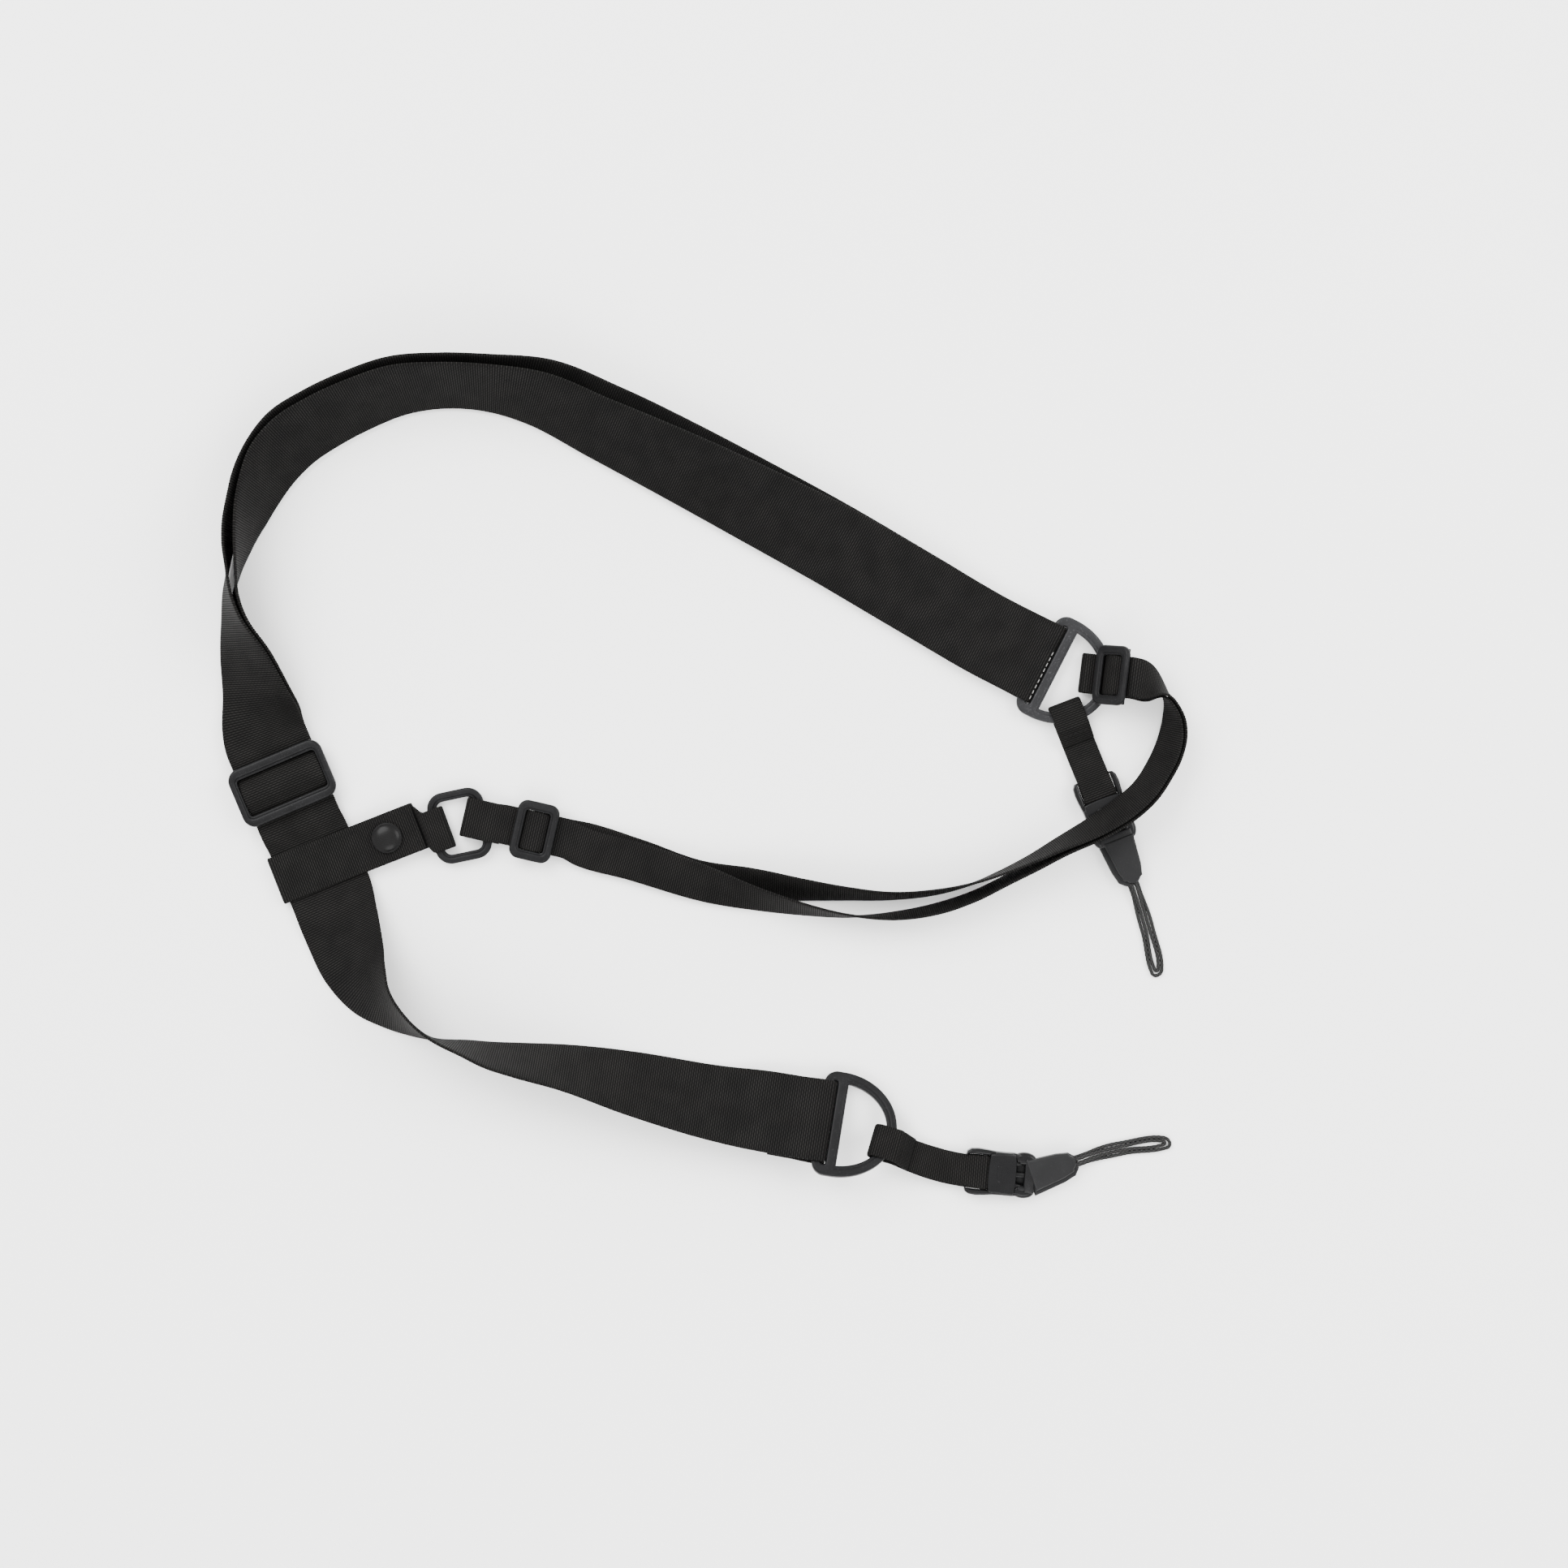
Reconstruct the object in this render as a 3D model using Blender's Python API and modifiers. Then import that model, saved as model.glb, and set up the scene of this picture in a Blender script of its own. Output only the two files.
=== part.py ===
# A camera shoulder strap with a side stabilizer strap, lying loosely on a flat surface.
# Metres, +Z up, the surface at Z = 0, the origin under the middle of the strap's outline.
#
# Webbing is a flat ribbon of constant width. Its free stretches follow short route tables, a row
# for each section: where the edge that touches the surface lies, and how far the ribbon leans.
# Its turns round bars are worked out from the bar and the webbing thickness.

import math

import bmesh
import bpy
from mathutils import Matrix, Vector

# Extent of the whole lay, which the route tables and hardware places are shares of
LAY_LENGTH = 0.444
LAY_WIDTH = 0.380

# Webbing sizes
SHOULDER_WIDTH = 0.038
SHOULDER_THICKNESS = 0.0015
KEEPER_WIDTH = 0.022
KEEPER_LENGTH = 0.070
TAB_WIDTH = 0.0195
STABILIZER_WIDTH = 0.018
NARROW_THICKNESS = 0.0013
CONNECTOR_WIDTH = 0.015
WEB_GAP = 0.00035
LOOSE_GAP = 0.0011
FREE_STEP = 0.009
WRAP_STEPS = 8

# D-rings: two equal plates with a slot for the shoulder webbing and a D opening
RING_THICKNESS = 0.0040
RING_HALF_LENGTH = 0.0245
RING_DEPTH = 0.029
RING_INNER_BAR = 0.004
RING_OUTER_BAR = 0.0042
RING_SLOT = 0.003
RING_BAND = 0.0046
RING_CORNER = 0.006

# Sliders: end walls, two rails and a lower centre bar
SLIDER_LENGTH = 0.0455
SLIDER_DEPTH = 0.028
SLIDER_RAIL = 0.0042
SLIDER_HEIGHT = 0.0036
SLIDER_BAR = 0.003
SMALL_SLIDER_LENGTH = 0.0272
SMALL_SLIDER_DEPTH = 0.0193
SMALL_SLIDER_RAIL = 0.0032
SMALL_SLIDER_HEIGHT = 0.0028
SMALL_SLIDER_BAR = 0.0022
SLIDER_SIDE_GAP = 0.0006

# Small ring between the keeper tab and the stabilizer strap
SMALL_RING_LENGTH = 0.033
SMALL_RING_DEPTH = 0.0262
SMALL_RING_BAND = 0.0042
SMALL_RING_THICKNESS = 0.0032
SMALL_RING_CORNER = 0.0075

# Snap fastener on the keeper
SNAP_CAP_RADIUS = 0.007
SNAP_CAP_HEIGHT = 0.0026
SNAP_STUD_RADIUS = 0.0052

# Side-release buckles
BUCKLE_WIDTH = 0.0175
BUCKLE_HEIGHT = 0.0076
BUCKLE_BODY_START = 0.0036
BUCKLE_BODY_LENGTH = 0.0092
BUCKLE_ARM_BACK = 0.009
BUCKLE_ARM_FRONT = 0.0165
BUCKLE_ARM_WIDTH = 0.0018
BUCKLE_WALL = 0.0015
BUCKLE_BAR = 0.0024
BUCKLE_FIT = 0.0005
PLUG_SHOULDER_LENGTH = 0.0055
PLUG_PRONG_LENGTH = 0.0115
PLUG_PRONG_WIDTH = 0.0026
COVER_LENGTH = 0.0215
COVER_TIP_WIDTH = 0.0085

# Thin cord loops
CORD_DIAMETER = 0.0018
CORD_LOOP_LENGTH = 0.044
CORD_POINT_STEP = 0.0032

EDGE_ROUND = 0.0008

# Where the hardware lies: share of the lay along X and Y, then the heading of its local X axis and
# its roll about that axis, in degrees
PLACES = {
    "ring_a": (0.860, 0.637, -27.0, 0.0),
    "ring_b": (0.6365, 0.0890, -9.9, -21.0),
    "strap_slider": (0.0698, 0.4971, -67.1, 0.0),
    "keeper": (0.1060, 0.3990, 21.4, 0.0),
    "small_ring": (0.2510, 0.4460, 12.0, 0.0),
    "slider_1": (0.3288, 0.4391, -13.0, 0.0),
    "slider_2": (0.9310, 0.6247, 173.0, 0.0),
    "buckle_a": (0.9109, 0.4824, -69.0, 0.0),
    "buckle_b": (0.7923, 0.0290, -5.0, 0.0),
}
SLIDER_2_PITCH = 26.0

# Where the connectors fold round the D-rings: shares of the ring's depth and half length, then the
# turn of the connector from the ring's axis, in degrees
CONNECTOR_PLACES = {"a": (0.450, -0.484, -42.0), "b": (0.640, -0.180, -7.0)}
CONNECTOR_STEP = 0.019
CONNECTOR_TAIL = 0.008

# Lengths of the sewn ends and of the keeper's parts, from the bar or fold that they leave
STRAP_TAIL = 0.0185
STRAP_END_TAIL = 0.0225
STABILIZER_TAIL = 0.017
STABILIZER_END_TAIL = 0.009
STABILIZER_FOLD = 0.0173
TAB_INSERT = 0.008
SNAP_FROM_CENTRE = 0.0339
COVER_TURNS = {"a": 0.0, "b": 24.0}

# Doubled run of the shoulder strap, from D-ring A to its slider. Columns: share along X, share along
# Y, lean of the first run, lean of the second run, extra spread of the runs as a share of the width
SHOULDER_PAIR = [
    (0.698, 0.685, -8, -10, 0.0),
    (0.607, 0.748, -14, -18, 0.0),
    (0.536, 0.795, -20, -28, 0.0),
    (0.463, 0.843, -26, -38, 0.0),
    (0.385, 0.893, -34, -48, 0.0),
    (0.320, 0.934, -46, -56, 0.0),
    (0.283, 0.948, -58, -63, 0.0),
    (0.239, 0.953, -61, -65, 0.0),
    (0.197, 0.946, -58, -62, 0.0),
    (0.160, 0.929, -56, -60, 0.0),
    (0.126, 0.908, -54, -58, 0.0),
    (0.098, 0.886, -53, -57, 0.0),
    (0.076, 0.860, -56, -59, 0.0),
    (0.059, 0.838, -65, -63, 0.10),
    (0.043, 0.816, -80, -69, 0.24),
    (0.0285, 0.799, -91, -77, 0.33),
    (0.0205, 0.781, -94, -86, 0.20),
    (0.0160, 0.758, -98, -95, 0.09),
    (0.0100, 0.726, -105, -104, 0.04),
    (0.0065, 0.698, -112, -112, 0.0),
    (0.0040, 0.653, -130, -130, 0.0),
    (0.0080, 0.604, -147, -147, 0.0),
]

# Single run of the shoulder strap, from the keeper to D-ring B. Columns: share along X, share along
# Y, lean
SHOULDER_SINGLE = [
    (0.0925, 0.304, -160),
    (0.1130, 0.256, -146),
    (0.1410, 0.221, -132),
    (0.1700, 0.204, -119),
    (0.2000, 0.193, -106),
    (0.2290, 0.187, -95),
    (0.2600, 0.186, -85),
    (0.2840, 0.184, -78),
    (0.3120, 0.183, -72),
    (0.3620, 0.181, -63),
    (0.4350, 0.172, -47),
    (0.5190, 0.156, -33),
]

# Doubled run of the stabilizer strap, from its first slider to its second. Columns as for the
# shoulder pair, then the lift off the surface as a share of the width
STABILIZER_PAIR = [
    (0.3690, 0.3960, 1, 2, 0.0, 0.0),
    (0.4260, 0.3790, 5, 7, 0.0, 0.0),
    (0.4950, 0.3575, 14, 22, 0.03, 0.0),
    (0.5510, 0.3500, 32, 50, 0.12, 0.0),
    (0.6060, 0.3470, 56, 71, 0.25, 0.0),
    (0.6490, 0.3460, 69, 84, 0.30, 0.0),
    (0.6970, 0.3490, 78, 98, 0.20, 0.0),
    (0.7390, 0.3565, 81, 103, 0.10, 0.0),
    (0.7800, 0.3710, 87, 102, 0.05, 0.0),
    (0.8090, 0.3870, 93, 101, 0.03, 0.05),
    (0.8370, 0.4050, 99, 103, 0.02, 0.15),
    (0.8650, 0.4270, 108, 109, 0.0, 0.30),
    (0.9030, 0.4560, 120, 120, 0.0, 0.50),
    (0.9280, 0.4770, 124, 124, 0.0, 0.50),
    (0.9480, 0.4980, 124, 124, 0.0, 0.38),
    (0.9605, 0.5190, 124, 124, 0.0, 0.20),
    (0.9700, 0.5400, 124, 124, 0.0, 0.06),
    (0.9765, 0.5610, 121, 121, 0.0, 0.0),
    (0.9800, 0.5790, 108, 108, 0.0, 0.0),
    (0.9815, 0.5950, 86, 92, 0.10, 0.12),
]

# Thin cord routes, from the cover's tip: share of the loop's length along and to the side
CORD_BOW = {"a": -0.10, "b": -0.14}

MATERIALS = {
    "webbing": ((0.012, 0.0115, 0.011), 0.85, 0.0),
    "plastic": ((0.020, 0.020, 0.021), 0.45, 0.0),
    "snap": ((0.012, 0.012, 0.013), 0.20, 0.6),
    "cord": ((0.010, 0.010, 0.010), 0.80, 0.0),
}

UP = Vector((0.0, 0.0, 1.0))


def clear_scene():
    for item in list(bpy.data.objects):
        bpy.data.objects.remove(item, do_unlink=True)
    for group in list(bpy.data.collections):
        bpy.data.collections.remove(group)


def new_collection(name):
    group = bpy.data.collections.new(name)
    bpy.context.scene.collection.children.link(group)
    return group


def make_material(name, kind):
    colour, roughness, metallic = MATERIALS[kind]
    material = bpy.data.materials.new(name)
    material.use_nodes = True
    shader = material.node_tree.nodes["Principled BSDF"]
    shader.inputs["Base Color"].default_value = (*colour, 1.0)
    shader.inputs["Roughness"].default_value = roughness
    shader.inputs["Metallic"].default_value = metallic
    material.diffuse_color = (*colour, 1.0)
    return material


def place(x_share, y_share):
    """Point of the lay on the surface, from its shares."""
    return Vector(((x_share - 0.5) * LAY_LENGTH, (y_share - 0.5) * LAY_WIDTH, 0.0))


def pose(name, height=0.0, pitch=0.0):
    """Local frame of a piece: X along its heading, Y along its bar, Z out of its face."""
    x_share, y_share, heading, roll = PLACES[name]
    spot = place(x_share, y_share) + UP * height
    turn = Matrix.Rotation(math.radians(heading), 4, "Z")
    tip = Matrix.Rotation(math.radians(roll), 4, "X") @ Matrix.Rotation(math.radians(pitch), 4, "Y")
    return Matrix.Translation(spot) @ turn @ tip


# Webbing

def local_stations(frame, points, side):
    """Stations of a ribbon at points (x, z) of a piece's frame, its width along the frame's Y."""
    across = (frame.to_3x3() @ Vector((0.0, side, 0.0))).normalized()
    return [(frame @ Vector((x, 0.0, z)), across) for x, z in points]


def bar_turn(bar_x, bar_z, half_x, half_z, thickness, rounding=EDGE_ROUND):
    """Points (x, z) round a bar of rectangular section, from above it, past +X, to below it."""
    radius = rounding + WEB_GAP + thickness / 2
    corner_x = bar_x + half_x - rounding
    corner_z = half_z - rounding
    points = [(bar_x, bar_z + corner_z + radius)]
    for side, angles in ((1, (90, 60, 30, 0)), (-1, (0, -30, -60, -90))):
        for angle in angles:
            turn = math.radians(angle)
            points.append((corner_x + radius * math.cos(turn), bar_z + side * corner_z + radius * math.sin(turn)))
    return points + [(bar_x, bar_z - corner_z - radius)]


def fold_turn(middle_x, middle_z, radius):
    """Points (x, z) of a half circle, from above the middle, past +X, to below it."""
    points = []
    for step in range(WRAP_STEPS + 1):
        angle = math.radians(90.0 - 180.0 * step / WRAP_STEPS)
        points.append((middle_x + radius * math.cos(angle), middle_z + radius * math.sin(angle)))
    return points


def headings(points):
    """Horizontal direction of a chain of points at each of them."""
    result = []
    for index in range(len(points)):
        before = points[max(index - 1, 0)]
        after = points[min(index + 1, len(points) - 1)]
        step = after - before
        result.append(Vector((step.x, step.y, 0.0)).normalized())
    return result


def leaning_station(edge, heading, lean, width, thickness, lift):
    """Centre and width direction of a ribbon that leans by lean degrees on its lower edge."""
    left = UP.cross(heading)
    angle = math.radians(lean)
    across = left * math.cos(angle) + UP * math.sin(angle)
    floor_end = 1.0 if lean < 0 else -1.0
    centre = edge - across * (floor_end * width / 2)
    centre.z = lift + width / 2 * abs(math.sin(angle)) + thickness / 2 * abs(math.cos(angle))
    return centre, across


def pair_stations(rows, width, thickness):
    """Stations of the two runs of a doubled strap, from the rows of its route table."""
    edges = [place(row[0], row[1]) for row in rows]
    pitch = thickness + LOOSE_GAP
    runs = ([], [])
    for row, edge, heading in zip(rows, edges, headings(edges)):
        left = UP.cross(heading)
        lean = math.radians((row[2] + row[3]) / 2)
        base_lift = row[5] * width if len(row) > 5 else 0.0
        sideways = (abs(math.sin(lean)) * pitch + row[4] * width) / 2
        inward = left * (-math.copysign(sideways, lean))
        for run, sign in ((0, -1.0), (1, 1.0)):
            lift = base_lift + pitch * max(0.0, sign * math.cos(lean))
            spot = edge + inward * sign
            runs[run].append(leaning_station(spot, heading, row[2 + run], width, thickness, lift))
    return runs


def single_stations(rows, width, thickness):
    edges = [place(row[0], row[1]) for row in rows]
    stations = []
    for row, edge, heading in zip(rows, edges, headings(edges)):
        stations.append(leaning_station(edge, heading, row[2], width, thickness, 0.0))
    return stations


def smooth_run(knots, spacing=FREE_STEP):
    """Stations at even steps on the smooth curve through the knots, without its outer knots."""
    def tangent(values, gaps, index):
        if index == 0 or index == len(values) - 1:
            return None
        ahead = (values[index + 1] - values[index]) / gaps[index]
        behind = (values[index] - values[index - 1]) / gaps[index - 1]
        total = gaps[index] + gaps[index - 1]
        return (ahead * gaps[index - 1] + behind * gaps[index]) / total

    centres = [knot[0] for knot in knots]
    widths = [knot[1] for knot in knots]
    gaps = [max((centres[i + 1] - centres[i]).length, 1e-6) for i in range(len(knots) - 1)]
    stations = []
    for i in range(1, len(knots) - 2):
        steps = max(1, round(gaps[i] / spacing))
        for step in range(steps):
            if i == 1 and step == 0:
                continue
            t = step / steps
            blended = []
            for values in (centres, widths):
                start = tangent(values, gaps, i) * gaps[i]
                end = tangent(values, gaps, i + 1) * gaps[i]
                near = values[i] * (2 * t ** 3 - 3 * t ** 2 + 1) + start * (t ** 3 - 2 * t ** 2 + t)
                far = values[i + 1] * (3 * t ** 2 - 2 * t ** 3) + end * (t ** 3 - t ** 2)
                blended.append(near + far)
            stations.append((blended[0], blended[1].normalized()))
    return stations


def join_route(pieces):
    """One chain of stations from fixed pieces with free rows between them: fixed, free, fixed, ..."""
    route = list(pieces[0])
    for free, fixed in zip(pieces[1::2], pieces[2::2]):
        knots = route[-2:] + list(free) + fixed[:2]
        route += smooth_run(knots) + fixed
    return route


def make_ribbon(name, route, width, thickness, group, kind="webbing"):
    """Webbing solid along a route: a plain grid laid along it, then thickened."""
    cells = 2 if width < 0.03 else 4
    bpy.ops.mesh.primitive_grid_add(x_subdivisions=cells, y_subdivisions=len(route) - 1, size=1.0)
    ribbon = bpy.context.object
    ribbon.name = name
    ribbon.data.name = name
    for vertex in ribbon.data.vertices:
        row = round((vertex.co.y + 0.5) * (len(route) - 1))
        centre, across = route[row]
        vertex.co = centre + across * (vertex.co.x * width)
    wall = ribbon.modifiers.new("thickness", "SOLIDIFY")
    wall.thickness = thickness
    wall.offset = 0.0
    wall.use_even_offset = True
    wall.use_quality_normals = True
    finish_object(ribbon, group, kind)
    return ribbon


def finish_object(piece, group, kind):
    for owner in list(piece.users_collection):
        owner.objects.unlink(piece)
    group.objects.link(piece)
    piece.data.materials.clear()
    piece.data.materials.append(make_material(piece.name, kind))
    piece.data.shade_smooth()
    if hasattr(piece.data, "set_sharp_from_angle"):
        piece.data.set_sharp_from_angle(angle=math.radians(40))


# Moulded pieces

def arc(centre_x, centre_y, radius_x, radius_y, start, stop, steps):
    points = []
    for step in range(steps + 1):
        angle = math.radians(start + (stop - start) * step / steps)
        points.append((centre_x + radius_x * math.cos(angle), centre_y + radius_y * math.sin(angle)))
    return points


def rounded_box_outline(x_min, x_max, y_min, y_max, radius, steps=4):
    corners = ((x_max - radius, y_max - radius, 0), (x_min + radius, y_max - radius, 90),
               (x_min + radius, y_min + radius, 180), (x_max - radius, y_min + radius, 270))
    points = []
    for x, y, start in corners:
        points += arc(x, y, radius, radius, start, start + 90, steps)
    return points


def plate(name, outlines, bottom, top, rounding=EDGE_ROUND):
    """Flat plate between two heights with rounded edges, from an outline and its holes."""
    curve = bpy.data.curves.new(name, "CURVE")
    curve.dimensions = "2D"
    curve.fill_mode = "BOTH"
    curve.extrude = (top - bottom) / 2 - rounding
    curve.bevel_depth = rounding
    curve.bevel_resolution = 0
    curve.offset = -rounding
    for outline in outlines:
        spline = curve.splines.new("POLY")
        spline.points.add(len(outline) - 1)
        for point, (x, y) in zip(spline.points, outline):
            point.co = (x, y, 0.0, 1.0)
        spline.use_cyclic_u = True
    holder = bpy.data.objects.new(name, curve)
    bpy.context.scene.collection.objects.link(holder)
    bpy.context.view_layer.update()
    mesh = bpy.data.meshes.new_from_object(holder.evaluated_get(bpy.context.evaluated_depsgraph_get()))
    bpy.data.objects.remove(holder, do_unlink=True)
    bpy.data.curves.remove(curve)
    solid = bpy.data.objects.new(name, mesh)
    bpy.context.scene.collection.objects.link(solid)
    weld(solid)
    solid.data.transform(Matrix.Translation((0.0, 0.0, (top + bottom) / 2)))
    return solid


def weld(solid):
    shape = bmesh.new()
    shape.from_mesh(solid.data)
    bmesh.ops.remove_doubles(shape, verts=shape.verts, dist=1e-6)
    bmesh.ops.recalc_face_normals(shape, faces=shape.faces)
    shape.to_mesh(solid.data)
    shape.free()


def block(name, x_min, x_max, y_min, y_max, z_min, z_max, rounding=EDGE_ROUND):
    """Box with rounded edges."""
    bpy.ops.mesh.primitive_cube_add(size=1.0)
    solid = bpy.context.object
    solid.name = name
    size = Matrix.Diagonal((x_max - x_min, y_max - y_min, z_max - z_min, 1.0))
    middle = Matrix.Translation(((x_max + x_min) / 2, (y_max + y_min) / 2, (z_max + z_min) / 2))
    solid.data.transform(middle @ size)
    if rounding:
        soften = solid.modifiers.new("rounding", "BEVEL")
        soften.width = rounding
        soften.segments = 2
        soften.limit_method = "NONE"
    return solid


def combine(target, helpers, operation, helper_group):
    """Join helper solids to a target, or cut them from it."""
    for helper in helpers:
        for owner in list(helper.users_collection):
            owner.objects.unlink(helper)
        helper_group.objects.link(helper)
        helper.hide_render = True
        helper.display_type = "WIRE"
        helper.parent = target
        step = target.modifiers.new(operation.lower(), "BOOLEAN")
        step.operation = operation
        step.solver = "EXACT"
        step.object = helper


def set_pose(piece, frame):
    piece.matrix_world = frame


def ring_stack():
    """Heights of a D-ring's middle above the surface, and of the webbing that turns round it."""
    radius = RING_THICKNESS / 2 + WEB_GAP + SHOULDER_THICKNESS / 2
    return radius + SHOULDER_THICKNESS / 2, radius


def make_d_ring(name, frame, group):
    """Moulded D-ring: local X points away from the shoulder webbing, X = 0 at the inner bar."""
    back = -(RING_SLOT + RING_OUTER_BAR)
    corner_y = RING_HALF_LENGTH - RING_CORNER
    arc_x = RING_INNER_BAR * 0.4
    inner_depth = RING_DEPTH - arc_x - RING_BAND
    inner_half = RING_HALF_LENGTH - RING_BAND * 1.08
    cut = math.degrees(math.asin(min(0.9, (RING_INNER_BAR - arc_x) / inner_depth)))
    outline = arc(arc_x, 0.0, RING_DEPTH - arc_x, RING_HALF_LENGTH, -90, 90, 24)
    outline += arc(back + RING_CORNER, corner_y, RING_CORNER, RING_CORNER, 90, 180, 4)
    outline += arc(back + RING_CORNER, -corner_y, RING_CORNER, RING_CORNER, 180, 270, 4)
    opening = arc(arc_x, 0.0, inner_depth, inner_half, cut - 90, 90 - cut, 20)
    slot_y = SHOULDER_WIDTH / 2 + SLIDER_SIDE_GAP
    slot = rounded_box_outline(-RING_SLOT, 0.0, -slot_y, slot_y, RING_SLOT * 0.3, 2)
    ring = plate(name, [outline, opening, slot], -RING_THICKNESS / 2, RING_THICKNESS / 2)
    set_pose(ring, frame)
    finish_object(ring, group, "plastic")
    return ring


def slider_stack(thickness, bar):
    """Heights in a slider: lower run, centre bar, run over the bar, run under the rails, rails."""
    pitch = thickness + WEB_GAP
    lower = thickness / 2
    centre_bar = lower + pitch / 2 + WEB_GAP / 2 + bar / 2
    radius = bar / 2 + WEB_GAP + thickness / 2
    under = lower + 2 * pitch + WEB_GAP / 2
    return {"lower": lower, "bar": centre_bar, "top": centre_bar + radius, "tail": lower + pitch,
            "over": centre_bar + radius + pitch + WEB_GAP, "under": under,
            "rail": under + thickness / 2 + 1.3 * WEB_GAP}


def make_slider(name, frame, length, depth, rail, height, bar, web_width, thickness, group, helper_group):
    """Three-bar slider: local Y along its bars, two rails above the webbing, centre bar below."""
    stack = slider_stack(thickness, bar)
    half_x = depth / 2
    half_y = length / 2
    window_y = web_width / 2 + SLIDER_SIDE_GAP
    outline = rounded_box_outline(-half_x, half_x, -half_y, half_y, rail * 1.4)
    window = rounded_box_outline(-half_x + rail, half_x - rail, -window_y, window_y, rail * 0.4, 2)
    slider = plate(name, [outline, window], stack["rail"], stack["rail"] + height)
    helpers = [block(name + "_bar", -bar / 2, bar / 2, -half_y + rail * 0.3, half_y - rail * 0.3,
                     stack["bar"] - bar / 2, stack["bar"] + bar / 2, bar * 0.25)]
    for side in (-1, 1):
        inner, outer = sorted((side * window_y, side * (half_y - EDGE_ROUND)))
        helpers.append(block(name + "_end", -half_x * 0.45, half_x * 0.45, inner, outer,
                             stack["bar"] - bar / 2, stack["rail"] + height / 2, EDGE_ROUND / 2))
    combine(slider, helpers, "UNION", helper_group)
    set_pose(slider, frame)
    finish_object(slider, group, "plastic")
    return slider


def make_small_ring(frame, group):
    half_x = SMALL_RING_DEPTH / 2
    half_y = SMALL_RING_LENGTH / 2
    band = SMALL_RING_BAND
    outline = rounded_box_outline(-half_x, half_x, -half_y, half_y, SMALL_RING_CORNER, 6)
    opening = rounded_box_outline(-half_x + band, half_x - band, -half_y + band, half_y - band,
                                  SMALL_RING_CORNER - band, 4)
    ring = plate("small_ring", [outline, opening], -SMALL_RING_THICKNESS / 2, SMALL_RING_THICKNESS / 2)
    set_pose(ring, frame)
    finish_object(ring, group, "plastic")


def turned(name, profile, frame, group, kind, steps=24):
    """Turned solid about local Z from a profile that runs from the top of the axis outward and down."""
    mesh = bpy.data.meshes.new(name)
    mesh.from_pydata([(radius, 0.0, z) for radius, z in profile],
                     [(i, i + 1) for i in range(len(profile) - 1)], [])
    solid = bpy.data.objects.new(name, mesh)
    screw = solid.modifiers.new("turn", "SCREW")
    screw.steps = steps
    screw.render_steps = steps
    screw.use_merge_vertices = True
    screw.merge_threshold = 0.00001
    set_pose(solid, frame)
    finish_object(solid, group, kind)


def make_buckle_body(name, frame, group, helper_group):
    """Socket half: local X from the webbing bar to the socket's mouth, X = 0 at the bar."""
    half_y = CONNECTOR_WIDTH / 2 + SLIDER_SIDE_GAP + BUCKLE_ARM_WIDTH
    start = BUCKLE_BODY_START
    stop = start + BUCKLE_BODY_LENGTH
    body = block(name, start, stop, -half_y, half_y, 0.0, BUCKLE_HEIGHT)
    wall = half_y - BUCKLE_ARM_WIDTH
    pocket = block(name + "_pocket", start + BUCKLE_WALL, stop + BUCKLE_WALL, -wall, wall,
                   BUCKLE_WALL, BUCKLE_HEIGHT - BUCKLE_WALL, 0)
    middle = BUCKLE_HEIGHT / 2
    helpers = []
    for side in (-1, 1):
        inner, outer = sorted((side * wall, side * (half_y - EDGE_ROUND / 4)))
        helpers.append(block(name + "_arm", -BUCKLE_ARM_BACK, BUCKLE_ARM_FRONT, inner, outer,
                             middle - BUCKLE_BAR, middle + BUCKLE_BAR, BUCKLE_ARM_WIDTH * 0.3))
    helpers.append(block(name + "_bar", -BUCKLE_BAR / 2, BUCKLE_BAR / 2, -half_y + EDGE_ROUND, half_y - EDGE_ROUND,
                         middle - BUCKLE_BAR / 2, middle + BUCKLE_BAR / 2, BUCKLE_BAR * 0.25))
    combine(body, helpers, "UNION", helper_group)
    combine(body, [pocket], "DIFFERENCE", helper_group)
    set_pose(body, frame)
    finish_object(body, group, "plastic")


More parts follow.
